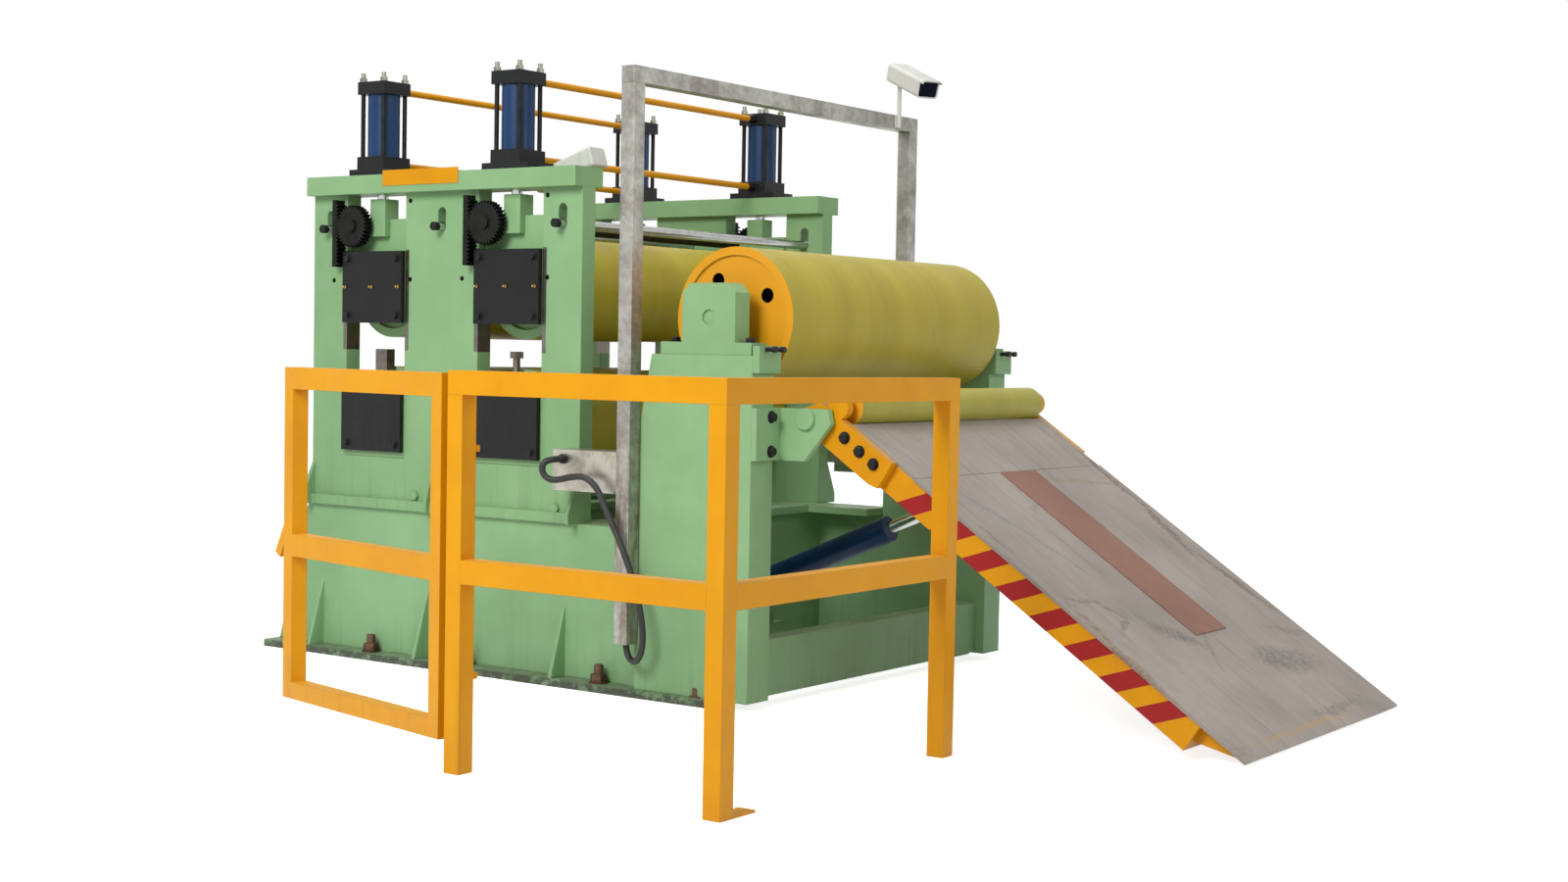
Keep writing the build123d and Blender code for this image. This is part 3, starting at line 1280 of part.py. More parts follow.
def gate():
    """Gate of square tube that stands ajar, with hinge eyes and a bent latch handle."""
    with BuildPart() as leaf:
        plane = gate_plane()
        back = HINGE_PROUD + RAIL_TUBE / 2 + GATE_TUBE / 2
        height = GATE_TOP - GATE_BOTTOM
        with BuildSketch(plane.offset(-back)):
            with Locations((GATE_LENGTH / 2 + 4, GATE_BOTTOM + height / 2)):
                Rectangle(GATE_LENGTH - 8, height)
            low = MID_RAIL_TOP - RAIL_HEIGHT
            lower_open = low - GATE_BOTTOM - GATE_TUBE
            upper_open = GATE_TOP - RAIL_HEIGHT - MID_RAIL_TOP
            opening = GATE_LENGTH - 8 - 2 * GATE_TUBE
            with Locations((GATE_LENGTH / 2 + 4, low - lower_open / 2)):
                Rectangle(opening, lower_open, mode=Mode.SUBTRACT)
            with Locations((GATE_LENGTH / 2 + 4, MID_RAIL_TOP + upper_open / 2)):
                Rectangle(opening, upper_open, mode=Mode.SUBTRACT)
        extrude(amount=GATE_TUBE)
        with BuildSketch(plane.offset(-back + GATE_TUBE / 2 - 8)):
            with BuildLine():
                Polyline(
                    (GATE_LENGTH - 5, MID_RAIL_TOP + 30),
                    (GATE_LENGTH + 40, MID_RAIL_TOP + 22),
                    (GATE_LENGTH + HANDLE_REACH, MID_RAIL_TOP - 70),
                    (GATE_LENGTH + HANDLE_REACH - 32, MID_RAIL_TOP - 86),
                    (GATE_LENGTH + 24, MID_RAIL_TOP - 18),
                    (GATE_LENGTH - 5, MID_RAIL_TOP - 12),
                    close=True,
                )
            make_face()
        extrude(amount=16)
        face = -back + GATE_TUBE
        for level in HINGE_LEVELS:
            flat = Plane(
                origin=plane.from_local_coords((0, level, 0)),
                x_dir=plane.x_dir,
                z_dir=(0, 0, 1),
            )
            with BuildSketch(flat):
                with Locations((35, -face - 4)):
                    Rectangle(70, 10)
                Circle(HINGE_EYE_R)
                Circle(HINGE_PIN_R + SHAFT_GAP, mode=Mode.SUBTRACT)
            extrude(amount=HINGE_HEIGHT)
    save(leaf, "gate")


def gate_hinges():
    """Pintles welded to the guard's first post, which carry the gate."""
    face_y = GUARD_Y + RAIL_TUBE / 2
    with BuildPart() as pintles:
        for level in HINGE_LEVELS:
            with BuildSketch(Plane.XY.offset(level - 2)):
                with Locations((GATE_HINGE_X + 28, face_y + 14)):
                    Rectangle(56, 28)
                with Locations((GATE_HINGE_X, GATE_HINGE_Y)):
                    Circle(HINGE_LUG_R)
            extrude(amount=-20)
            with BuildSketch(Plane.XY.offset(level - 2)):
                with Locations((GATE_HINGE_X, GATE_HINGE_Y)):
                    Circle(HINGE_PIN_R)
            extrude(amount=HINGE_HEIGHT + 8)
    save(pintles, "gate_hinges")


os.makedirs("parts", exist_ok=True)
base_frame()
housings()
caps()
window_liners()
tie_bars()
lower_chocks()
stop_screws()
pinch_rolls()
for stand_number, stand_x in enumerate(STAND_XS, start=1):
    upper_chocks(stand_x, stand_number)
    lift_rods(stand_x, stand_number)
    sync_shaft(stand_x, stand_number)
racks()
lift_cylinders()
air_pipes()
stands()
pillow_blocks()
adjusters()
deflector_roll()
table_brackets()
table()
table_cylinder()
gantry()
gantry_boxes()
cameras()
guard()
gate()
gate_hinges()
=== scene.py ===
import math

import bmesh
import bpy
import numpy as np
from mathutils import Matrix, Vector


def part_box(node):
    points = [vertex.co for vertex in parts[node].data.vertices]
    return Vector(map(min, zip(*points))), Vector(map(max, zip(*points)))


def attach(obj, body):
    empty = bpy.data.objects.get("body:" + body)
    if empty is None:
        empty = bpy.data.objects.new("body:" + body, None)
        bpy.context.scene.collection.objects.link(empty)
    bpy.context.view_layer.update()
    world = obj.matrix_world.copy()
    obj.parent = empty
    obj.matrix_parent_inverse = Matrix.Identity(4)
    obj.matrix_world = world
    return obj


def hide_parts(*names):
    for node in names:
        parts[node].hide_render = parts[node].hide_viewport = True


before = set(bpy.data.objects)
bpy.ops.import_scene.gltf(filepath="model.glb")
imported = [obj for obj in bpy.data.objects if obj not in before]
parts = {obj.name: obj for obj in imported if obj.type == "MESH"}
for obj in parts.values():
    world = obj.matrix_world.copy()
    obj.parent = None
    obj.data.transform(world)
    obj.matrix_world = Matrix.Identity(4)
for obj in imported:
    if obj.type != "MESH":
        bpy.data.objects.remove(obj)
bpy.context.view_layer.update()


# Welded base: plate beams on a foot flange, sprayed with light green machine enamel on primed
# steel. It stands in the dirt of the workshop, so the flange's edge is chipped and grimy.
def linear(shade):
    """sRGB hex to linear light: divided by 12.92 in the low part, a power of 2.4 above it."""
    srgb = np.array([int(shade[i : i + 2], 16) for i in (1, 3, 5)]) / 255
    light = np.where(srgb <= 0.04045, srgb / 12.92, ((srgb + 0.055) / 1.055) ** 2.4)
    return (*light, 1.0)


def add(tree, kind, sockets=None, **settings):
    """Adds a node, gives it its settings, and fills each socket with a value or a link."""
    made = tree.nodes.new("ShaderNode" + kind)
    for key, value in settings.items():
        setattr(made, key, value)
    for key, value in (sockets or {}).items():
        if isinstance(value, bpy.types.NodeSocket):
            tree.links.new(value, made.inputs[key])
        else:
            made.inputs[key].default_value = value
    return made


def blank(name):
    """An empty material, its node tree and the Object coordinates that its patterns read."""
    material = bpy.data.materials.new(name)
    material.use_nodes = True
    material.node_tree.nodes.clear()
    place = add(material.node_tree, "TexCoord").outputs["Object"]
    return material, material.node_tree, place


def enamel(name, shade, faded, soil, edge, gloss=0.36, soiled=(0.0, 1.0), worn=0.5, dusty=0.5):
    """Machine enamel. Patches 450 mm across drift between two shades; dirt runs 30 mm wide follow Z;
    soil fades out between two heights; dust lies on faces that look up; edges are rubbed through.
    The spray's orange peel is drawn 6 mm wide, coarser than it is, so that it shows."""
    material, tree, place = blank(name)
    patch = add(tree, "TexNoise", {"Vector": place, "Scale": 2.2, "Detail": 5.0, "Roughness": 0.6})
    drift = add(tree, "MapRange", {0: patch.outputs[0], 1: 0.38, 2: 0.66})
    body = add(
        tree,
        "Mix",
        {0: drift.outputs[0], 6: linear(shade), 7: linear(faded)},
        data_type="RGBA",
    )
    stretch = add(tree, "Mapping", {"Vector": place, "Scale": (33.0, 33.0, 1.6)})
    runs = add(tree, "TexNoise", {"Vector": stretch.outputs[0], "Scale": 1.0, "Detail": 3.0})
    height = add(tree, "SeparateXYZ", {0: place}).outputs[2]
    low = add(tree, "MapRange", {0: height, 1: soiled[0], 2: soiled[1], 3: 0.4, 4: 0.04})
    streak = add(tree, "MapRange", {0: runs.outputs[0], 1: 0.52, 2: 0.85})
    dirt = add(tree, "Math", {0: streak.outputs[0], 1: low.outputs[0]}, operation="MULTIPLY")
    dirty = add(
        tree,
        "Mix",
        {0: dirt.outputs[0], 6: body.outputs[2], 7: linear(soil)},
        data_type="RGBA",
    )
    side = add(tree, "NewGeometry")
    up = add(tree, "SeparateXYZ", {0: side.outputs["Normal"]}).outputs[2]
    flat = add(tree, "MapRange", {0: up, 1: 0.7, 2: 1.0, 4: dusty})
    grit = add(tree, "TexNoise", {"Vector": place, "Scale": 14.0, "Detail": 6.0, "Roughness": 0.7})
    settle = add(tree, "Math", {0: flat.outputs[0], 1: grit.outputs[0]}, operation="MULTIPLY")
    dusted = add(
        tree,
        "Mix",
        {0: settle.outputs[0], 6: dirty.outputs[2], 7: linear("#A39C8A")},
        data_type="RGBA",
    )
    soft = add(tree, "Bevel", {"Radius": 0.003}, samples=4)
    turn = add(
        tree,
        "VectorMath",
        {0: soft.outputs[0], 1: side.outputs["True Normal"]},
        operation="DOT_PRODUCT",
    )
    rim = add(tree, "MapRange", {0: turn.outputs[1], 1: 0.99, 2: 0.8, 4: worn})
    chips = add(tree, "MapRange", {0: grit.outputs[0], 1: 0.5, 2: 0.62})
    bare = add(tree, "Math", {0: rim.outputs[0], 1: chips.outputs[0]}, operation="MULTIPLY")
    final = add(
        tree,
        "Mix",
        {0: bare.outputs[0], 6: dusted.outputs[2], 7: linear(edge)},
        data_type="RGBA",
    )
    rough = add(
        tree, "MapRange", {0: grit.outputs[0], 1: 0.3, 2: 0.75, 3: gloss, 4: gloss + 0.2}
    )
    peel = add(tree, "TexNoise", {"Vector": place, "Scale": 160.0, "Detail": 1.0})
    wave = add(tree, "TexNoise", {"Vector": place, "Scale": 9.0, "Detail": 2.0})
    relief = add(
        tree,
        "Math",
        {0: wave.outputs[0], 1: 3.0, 2: peel.outputs[0]},
        operation="MULTIPLY_ADD",
    )
    bump = add(
        tree,
        "Bump",
        {
            "Strength": 0.16,
            "Distance": 0.0012,
            "Height": relief.outputs[0],
            "Normal": soft.outputs[0],
        },
    )
    shader = add(
        tree,
        "BsdfPrincipled",
        {
            "Base Color": final.outputs[2],
            "Roughness": rough.outputs[0],
            "IOR": 1.45,
            "Specular IOR Level": 0.28,
            "Normal": bump.outputs[0],
        },
    )
    add(tree, "OutputMaterial", {0: shader.outputs[0]})
    return material


def coat_of(material):
    """The tree, shader, colour link and Object coordinates of a material that gets one more coat."""
    tree = material.node_tree
    shader = next(node for node in tree.nodes if node.type == "BSDF_PRINCIPLED")
    place = next(node for node in tree.nodes if node.type == "TEX_COORD").outputs["Object"]
    return tree, shader, shader.inputs["Base Color"].links[0].from_socket, place


def dress(material, *names):
    """Gives CAD nodes a finish."""
    for name in names:
        parts[name].data.materials.clear()
        parts[name].data.materials.append(material)


# Pale green, half glossy, with grime trodden into the flange's edge, which is 30 mm thick.
base_green = enamel(
    "light_green_base_enamel", "#93BC8B", "#86AD7D", "#5C5D45", "#474942", soiled=(0.0, 0.3)
)
tree, shader, painted, place = coat_of(base_green)
edge_height = add(tree, "SeparateXYZ", {0: place}).outputs[2]
near_floor = add(tree, "MapRange", {0: edge_height, 1: 0.036, 2: 0.026})
flaking = add(tree, "TexNoise", {"Vector": place, "Scale": 21.0, "Detail": 7.0, "Roughness": 0.75})
flaked = add(tree, "MapRange", {0: flaking.outputs[0], 1: 0.38, 2: 0.5, 3: 0.25, 4: 0.95})
grime = add(
    tree, "Math", {0: near_floor.outputs[0], 1: flaked.outputs[0]}, operation="MULTIPLY"
)
grimy = add(
    tree, "Mix", {0: grime.outputs[0], 6: painted, 7: linear("#4B4B44")}, data_type="RGBA"
)
tree.links.new(grimy.outputs[2], shader.inputs["Base Color"])
dress(base_green, "base_frame", "stand_beam", "table_cylinder_foot")


# Anchor nuts: M36 hexagon nuts on threaded studs, over thick washers, all bare steel that has
# rusted brown. They clamp the foot flange to the floor.
def turned(profile, sides):
    """Radius and height pairs turned about Z: point (r cos t, r sin t, h) for each side's angle t."""
    radius, height = np.array(profile, float).T
    angle = np.arange(sides) * 2 * np.pi / sides
    ring = np.stack([np.cos(angle), np.sin(angle)], -1)
    flat = radius[:, None, None] * ring[None]
    tall = np.broadcast_to(height[:, None, None], (len(height), sides, 1))
    return np.concatenate([flat, tall], -1)


def sown(grid, spots, axis, seed=1):
    """Copies of a grid, each turned by its own angle about Z, then Z laid along the axis."""
    spots = np.array(spots, float).reshape(-1, 3)
    twist = np.random.default_rng(seed).uniform(0, 2 * np.pi, len(spots))
    c, s = np.cos(twist), np.sin(twist)
    x = c[:, None, None] * grid[None, ..., 0] - s[:, None, None] * grid[None, ..., 1]
    y = s[:, None, None] * grid[None, ..., 0] + c[:, None, None] * grid[None, ..., 1]
    z = np.broadcast_to(grid[None, ..., 2], x.shape)
    normal = np.array(axis, float) / np.linalg.norm(axis)
    first = np.cross(normal, (0.0, 0.0, 1.0) if abs(normal[2]) < 0.9 else (1.0, 0.0, 0.0))
    first /= np.linalg.norm(first)
    second = np.cross(normal, first)
    laid = x[..., None] * first + y[..., None] * second + z[..., None] * normal
    return laid + spots[:, None, None, :]


def shell(name, grids, material, body, smooth=False, round_rows=True):
    """Grids of points become quads: each point joins the next in its row and in its column."""
    corners, faces, start = [], [], 0
    for grid in grids:
        copies, rows, columns, _ = grid.shape
        step = np.arange(columns if round_rows else columns - 1)
        low = np.arange(rows - 1)[:, None] * columns
        a = low + step
        b = low + (step + 1) % columns
        quad = np.stack([a, b, b + columns, a + columns], -1).reshape(-1, 4)
        shift = np.arange(copies)[:, None, None] * rows * columns
        faces.append((quad[None] + shift + start).reshape(-1, 4))
        corners.append(grid.reshape(-1, 3))
        start += copies * rows * columns
    mesh = bpy.data.meshes.new(name)
    mesh.from_pydata(np.concatenate(corners).tolist(), [], np.concatenate(faces).tolist())
    joined = bmesh.new()
    joined.from_mesh(mesh)
    bmesh.ops.remove_doubles(joined, verts=joined.verts, dist=1e-6)
    bmesh.ops.dissolve_degenerate(joined, edges=joined.edges, dist=1e-7)
    bmesh.ops.recalc_face_normals(joined, faces=joined.faces)
    joined.to_mesh(mesh)
    joined.free()
    mesh.polygons.foreach_set("use_smooth", [smooth] * len(mesh.polygons))
    mesh.materials.append(material)
    piece = bpy.data.objects.new(name, mesh)
    bpy.context.scene.collection.objects.link(piece)
    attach(piece, body)
    return piece


def metal(name, shade, stain, rough, grain=(60.0, 60.0, 60.0), stained=0.5, relief=0.1):
    """Bare metal: grain stretched along the way it was worked, and stains 60 mm across. The grain
    is drawn some 4 mm wide, coarser than it is, so that it shows."""
    material, tree, place = blank(name)
    stretch = add(tree, "Mapping", {"Vector": place, "Scale": grain})
    fine = add(tree, "TexNoise", {"Vector": stretch.outputs[0], "Scale": 4.0, "Detail": 4.0})
    cloud = add(tree, "TexNoise", {"Vector": place, "Scale": 16.0, "Detail": 6.0, "Roughness": 0.7})
    spread = add(tree, "MapRange", {0: cloud.outputs[0], 1: 0.45, 2: 0.7, 4: stained})
    colour = add(
        tree,
        "Mix",
        {0: spread.outputs[0], 6: linear(shade), 7: linear(stain)},
        data_type="RGBA",
    )
    gloss = add(
        tree, "MapRange", {0: fine.outputs[0], 1: 0.3, 2: 0.7, 3: rough - 0.06, 4: rough + 0.1}
    )
    soft = add(tree, "Bevel", {"Radius": 0.0015}, samples=4)
    bump = add(
        tree,
        "Bump",
        {
            "Strength": relief,
            "Distance": 0.0008,
            "Height": fine.outputs[0],
            "Normal": soft.outputs[0],
        },
    )
    shader = add(
        tree,
        "BsdfPrincipled",
        {
            "Base Color": colour.outputs[2],
            "Metallic": 1.0,
            "Roughness": gloss.outputs[0],
            "Normal": bump.outputs[0],
        },
    )
    add(tree, "OutputMaterial", {0: shader.outputs[0]})
    return material


# Dull brown with darker scale, so the nuts read as spots on the green.
rusty_steel = metal("rusted_steel", "#6B5546", "#4A3325", 0.62, stained=0.9, relief=0.5)
flange_top = 0.03
anchor_spots = [(x, y, flange_top) for x in (-0.332, 0.19, 0.87, 1.34) for y in (-0.875, 0.875)]
washer = turned([(0.021, 0), (0.036, 0), (0.036, 0.006), (0.021, 0.006), (0.021, 0)], 28)
nut = turned(
    [(0.018, 0.006), (0.031, 0.006), (0.032, 0.009), (0.032, 0.032), (0.029, 0.035), (0.018, 0.035)],
    6,
)
stud = turned([(0.018, 0.0), (0.018, 0.066), (0.0155, 0.070), (0.0, 0.070)], 20)
shell(
    "anchor_nuts",
    [sown(form, anchor_spots, (0, 0, 1)) for form in (washer, nut, stud)],
    rusty_steel,
    "machine",
)


# Housings: flame-cut steel plates 72 mm thick, machined and painted the same green, with caps
# bolted on top. Their windows have let-in steel liners where the upper chocks slide.
def plaque(width, height, levels, corner=0.006):
    """Rings of a thin plate, one for each inset and depth: point (a x + k cos t, b y + k sin t), where
    k is what is left of the corner's radius, and x, y are the signs of cos t and sin t."""
    angle = (np.arange(32) + 0.5) * 2 * np.pi / 32
    inset, depth = np.array(levels, float).T
    inset = inset[:, None]
    left = np.maximum(corner - inset, 0.0)
    half_x = np.maximum(width / 2 - inset - left, 0.0)
    half_y = np.maximum(height / 2 - inset - left, 0.0)
    x = np.sign(np.cos(angle)) * half_x + left * np.cos(angle)
    y = np.sign(np.sin(angle)) * half_y + left * np.sin(angle)
    return np.stack([x, y, np.broadcast_to(depth[:, None], x.shape)], -1)


def set_in(grid, origin, across, up):
    """Lays a flat grid in place: x runs across, y runs up, z leaves the surface between the two."""
    across = np.array(across, float) / np.linalg.norm(across)
    up = np.array(up, float) - np.dot(up, across) * across
    up /= np.linalg.norm(up)
    out = np.cross(across, up)
    laid = grid[..., :1] * across + grid[..., 1:2] * up + grid[..., 2:] * out
    return (laid + np.array(origin, float))[None]


# A little cooler, darker and cleaner than the base: a shaded copy of the same paint. Its painted shade
# evens out the better light on the housings, so the eye takes both as one paint.
housing_green = enamel(
    "light_green_housing_enamel",
    "#8EB684",
    "#84AA7A",
    "#62644A",
    "#50534A",
    soiled=(0.6, 1.0),
    worn=0.3,
)
dress(housing_green, "housing_near", "housing_far", "cap_near", "cap_far")
dress(housing_green, "upper_chocks_1", "upper_chocks_2", "lower_chocks")
# Slide faces: grey-brown with old grease, and streaked up and down.
liner_steel = metal("ground_liner_steel", "#76726A", "#4A443C", 0.42, grain=(8.0, 8.0, 90.0))
dress(liner_steel, "window_liners")
# Nearly black: painted shade for holes that no light reaches.
dark_hole = metal("shadowed_thread", "#1D1D1C", "#0F0F0F", 0.8)
# The warm yellow of the rails, glossy, with little wear.
orange_enamel = enamel(
    "orange_yellow_enamel",
    "#E09B00",
    "#D48F00",
    "#7E5A12",
    "#6A4A1C",
    gloss=0.34,
    soiled=(0.0, 0.35),
    worn=0.22,
    dusty=0.2,
)
sides = ((-1, "near"), (1, "far"))
web_face = 0.836
threads = (
    (-0.609, 1.532),
    (-0.174, 1.846),
    (-0.172, 1.534),
    (0.112, 1.536),
    (0.552, 1.849),
    (0.555, 1.538),
)
# Thin black discs on the threaded holes in the webs: painted shade of the holes' insides.
hole_shade_disc = turned([(0.0095, 0.0), (0.0095, 0.0008), (0.008, 0.0012), (0.0, 0.0012)], 18)
hole_shade_discs = [
    sown(hole_shade_disc, [(x, side * web_face, z) for x, z in threads], (0, side, 0)) for side, _ in sides
]
shell("threaded_holes", hole_shade_discs, dark_hole, "machine")
boss = turned(
    [(0.0, 0.0), (0.019, 0.0), (0.0195, 0.002), (0.0195, 0.013), (0.017, 0.015), (0.0, 0.015)], 6
)
for side, label in sides:
    boss_spots = [(-0.129, side * web_face, 0.671), (0.615, side * web_face, 0.664)]
    shell(f"foot_bosses_{label}", [sown(boss, boss_spots, (0, side, 0), 8)], housing_green, "machine")
blank_plate = plaque(
    0.414, 0.062, [(0.2, 0.0), (0.0, 0.0), (0.0, 0.002), (0.0008, 0.0025), (0.2, 0.0025)], 0.002
)
plate_grid = set_in(blank_plate, (-0.080, -0.880, 1.936), (1, 0, 0), (0, 0, 1))
shell("cap_blank_plate", [plate_grid], orange_enamel, "machine")


# Pinch rolls: steel rolls with a cast elastomer cover, olive yellow, ground to size. The strip
# has polished bands round them and left grey traces.
def elastomer(name, shade, deep, trace, spin_x, spin_z, ends=None):
    """Cast elastomer. Bands 200 mm wide run round the roll, because the noise changes along Y far
    faster than about the axis; scuffs 110 mm long lie along the strip's way. Faces square to the
    axis take the paint of the ends."""
    material, tree, place = blank(name)
    centred = add(tree, "VectorMath", {0: place, 1: (spin_x, 0.0, spin_z)}, operation="SUBTRACT")
    bands = add(tree, "Mapping", {"Vector": centred.outputs[0], "Scale": (0.8, 5.0, 0.8)})
    ring = add(tree, "TexNoise", {"Vector": bands.outputs[0], "Scale": 1.0, "Detail": 5.0})
    drift = add(tree, "MapRange", {0: ring.outputs[0], 1: 0.3, 2: 0.7})
    body = add(
        tree,
        "Mix",
        {0: drift.outputs[0], 6: linear(shade), 7: linear(deep)},
        data_type="RGBA",
    )
    scuffs = add(tree, "Mapping", {"Vector": centred.outputs[0], "Scale": (9.0, 46.0, 9.0)})
    marks = add(
        tree,
        "TexNoise",
        {"Vector": scuffs.outputs[0], "Scale": 1.0, "Detail": 6.0, "Roughness": 0.7},
    )
    mask = add(tree, "MapRange", {0: marks.outputs[0], 1: 0.6, 2: 0.85, 4: 0.4})
    colour = add(
        tree,
        "Mix",
        {0: mask.outputs[0], 6: body.outputs[2], 7: linear(trace)},
        data_type="RGBA",
    )
    if ends:
        normal = add(tree, "NewGeometry").outputs["True Normal"]
        facing = add(tree, "SeparateXYZ", {0: normal}).outputs[1]
        either = add(tree, "Math", {0: facing}, operation="ABSOLUTE")
        square = add(tree, "Math", {0: either.outputs[0], 1: 0.9}, operation="GREATER_THAN")
        colour = add(
            tree,
            "Mix",
            {0: square.outputs[0], 6: colour.outputs[2], 7: linear(ends)},
            data_type="RGBA",
        )
    rough = add(tree, "MapRange", {0: marks.outputs[0], 1: 0.3, 2: 0.7, 3: 0.42, 4: 0.6})
    bump = add(tree, "Bump", {"Strength": 0.12, "Distance": 0.0006, "Height": marks.outputs[0]})
    shader = add(
        tree,
        "BsdfPrincipled",
        {
            "Base Color": colour.outputs[2],
            "Roughness": rough.outputs[0],
            "IOR": 1.5,
            "Normal": bump.outputs[0],
        },
    )
    add(tree, "OutputMaterial", {0: shader.outputs[0]})
    return material


# Olive yellow with a soft sheen; the ends are the green of the housings.
roll_centres = ((1, -0.365), (2, 0.365))
for number, x in roll_centres:
    for level, z in (("lower", 0.985), ("upper", 1.503)):
        cover = elastomer(
            f"olive_elastomer_{level}_{number}", "#BCAC20", "#AA9B1B", "#79712F", x, z, "#8EB684"
        )
        dress(cover, f"{level}_roll_{number}")


# Chock covers: flame-cut plates, painted satin black, each held by four hexagon bolts. Three
# small brass grease nipples sit at mid height of each upper one.
def bolted(name, forms, spots, axis, seed, material, body):
    """One head and one washer at each spot, turned alike."""
    shell(name, [sown(form, spots, axis, seed) for form in forms], material, body)


# Satin black: only the edges catch light.
black_enamel = enamel(
    "satin_black_enamel",
    "#121212",
    "#1B1B1B",
    "#302D27",
    "#4B4A47",
    gloss=0.4,
    soiled=(0.8, 1.4),
    worn=0.35,
    dusty=0.35,
)
dress(black_enamel, "upper_chock_covers_1", "upper_chock_covers_2", "lower_chock_covers")
dress(black_enamel, "tie_bar_ends")
# Small warm glints on the black covers.
brass = metal("turned_brass", "#B79A55", "#8B7A4A", 0.3)
small_head = (
    (0.0, 0.0025),
    (0.0135, 0.0025),
    (0.0138, 0.004),
    (0.0138, 0.012),
    (0.0118, 0.0135),
    (0.0, 0.0135),
)
small_washer = [(0.008, 0), (0.0165, 0), (0.0165, 0.0025), (0.008, 0.0025)]
small_bolt = (turned(small_washer, 24), turned(small_head, 6))
nipple_profile = (
    (0.0, 0.0),
    (0.007, 0.0),
    (0.007, 0.005),
    (0.004, 0.006),
    (0.004, 0.010),
    (0.0052, 0.012),
    (0.003, 0.016),
    (0.0, 0.016),
)
nipple = turned(nipple_profile, 16)
cover_face = 0.861
bolt_inset = 0.03
for number, x in roll_centres:
    for side, label in sides:
        face = side * cover_face
        for level, body, covers in (
            ("upper", f"carriage_{number}", f"upper_chock_covers_{number}"),
            ("lower", "machine", "lower_chock_covers"),
        ):
            corner, far_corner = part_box(covers)
            heights = (corner.z + bolt_inset, far_corner.z - bolt_inset)
            spots = [(x + dx, face, z) for dx in (-0.138, 0.138) for z in heights]
            name = f"{level}_cover_bolts_{number}_{label}"
            bolted(name, small_bolt, spots, (0, side, 0), number, black_enamel, body)
        middle = [(x + dx, face, 1.504) for dx in (-0.15, 0.0, 0.15)]
        shell(
            f"grease_nipples_{number}_{label}",
            [sown(nipple, middle, (0, side, 0))],
            brass,
            f"carriage_{number}",
            smooth=True,
        )


# Levelling gear: steel racks screwed to the housings, and a keyed pinion at each end of a cross
# shaft that rides in the upper chocks. Its cut teeth are oiled black.
# Charcoal with a dull sheen, so the teeth stand out against the green.
oiled_steel = metal("oiled_cut_steel", "#2B2B2A", "#191817", 0.5, stained=0.7, relief=0.2)
dress(oiled_steel, "racks", "sync_shaft_1", "sync_shaft_2")


# Tie bars and stops: bright bars through both housings, resting in upright slots, with black
# ends. Screws and blocks on the lower chocks limit how far an upper roll drops.
# Light grey, with the draw marks along it.
drawn_bar = metal(
    "drawn_bright_bar", "#B9BAB8", "#8D8C88", 0.22, grain=(90.0, 3.0, 90.0), stained=0.4
)
dress(drawn_bar, "tie_bars")
dress(liner_steel, "stop_blocks")


# Lift rods: chromed piston rods, each in a painted coupling block that hangs an upper chock from
# its cylinder. The paint ends at the block's top.
# Nearly a mirror: it shows the white room.
chrome = metal("hard_chrome", "#D3D5D6", "#B5B6B5", 0.12, stained=0.3, relief=0.03)
dress(chrome, "table_cylinder_rod")
# The green of the housings up to the block's top, and chrome above it.
rod_coat = enamel(
    "rod_block_green", "#8EB684", "#84AA7A", "#6E8164", "#8A8A80", soiled=(1.7, 2.0), worn=0.3
)
tree, shader, painted, place = coat_of(rod_coat)
satin = shader.inputs["Roughness"].links[0].from_socket
height = add(tree, "SeparateXYZ", {0: place}).outputs[2]
bare_rod = add(tree, "MapRange", {0: height, 1: 1.8585, 2: 1.8595}).outputs[0]
tone = add(tree, "Mix", {0: bare_rod, 6: painted, 7: linear("#D3D5D6")}, data_type="RGBA")
sheen = add(tree, "MapRange", {0: bare_rod, 3: satin, 4: 0.14})
tree.links.new(tone.outputs[2], shader.inputs["Base Color"])
tree.links.new(sheen.outputs[0], shader.inputs["Roughness"])
tree.links.new(bare_rod, shader.inputs["Metallic"])
dress(rod_coat, "lift_rods_1", "lift_rods_2")


# Lift cylinders: tie-rod cylinders with square heads painted black and a gloss blue tube. Orange
# pipes join their ports across the machine, with a hexagon collar at each end.
# Deep black with a little more gloss than the covers.
head_black = enamel(
    "cylinder_head_black",
    "#101112",
    "#191A1C",
    "#2C2A26",
    "#3F3E3B",
    gloss=0.34,
    soiled=(1.9, 2.2),
    worn=0.3,
)
dress(head_black, "cylinder_heads", "cylinder_feet")
# Dark blue, the glossiest paint on the machine.
tube_blue = enamel(
    "gloss_blue_enamel",
    "#163C66",
    "#12325A",
    "#232C38",
    "#6B7078",
    gloss=0.24,
    soiled=(0.2, 0.5),
    worn=0.1,
    dusty=0.2,
)
dress(tube_blue, "cylinder_tubes", "table_cylinder_barrel")
# Dulled zinc, between grey and straw.
zinc = metal("zinc_plate", "#8C897E", "#625E54", 0.38)
dress(zinc, "cylinder_nuts")
dress(oiled_steel, "cylinder_tie_rods")
dress(orange_enamel, "air_pipes")
collar_profile = (
    (0.0137, 0.0),
    (0.0205, 0.0),
    (0.0205, 0.017),
    (0.019, 0.019),
    (0.019, 0.034),
    (0.0175, 0.036),
    (0.0137, 0.036),
)
collar = turned(collar_profile, 6)
for side, label in sides:
    ends = [(x, side * 0.7265, z) for _, x in roll_centres for z in (2.001, 2.301)]
    shell(f"pipe_fittings_{label}", [sown(collar, ends, (0, -side, 0))], head_black, "machine")


# Stands of the deflector roll: closed plate boxes in the green of the base, with bearing blocks
# bolted down on machined seats and set screws that align them. The roll's ends are orange, with
# four lightening holes each.
dress(base_green, "stand_near", "stand_far", "table_brackets")
dress(housing_green, "pillow_blocks", "adjusting_blocks")
dress(black_enamel, "set_screws")
deflector_x, deflector_z = 1.371, 1.390
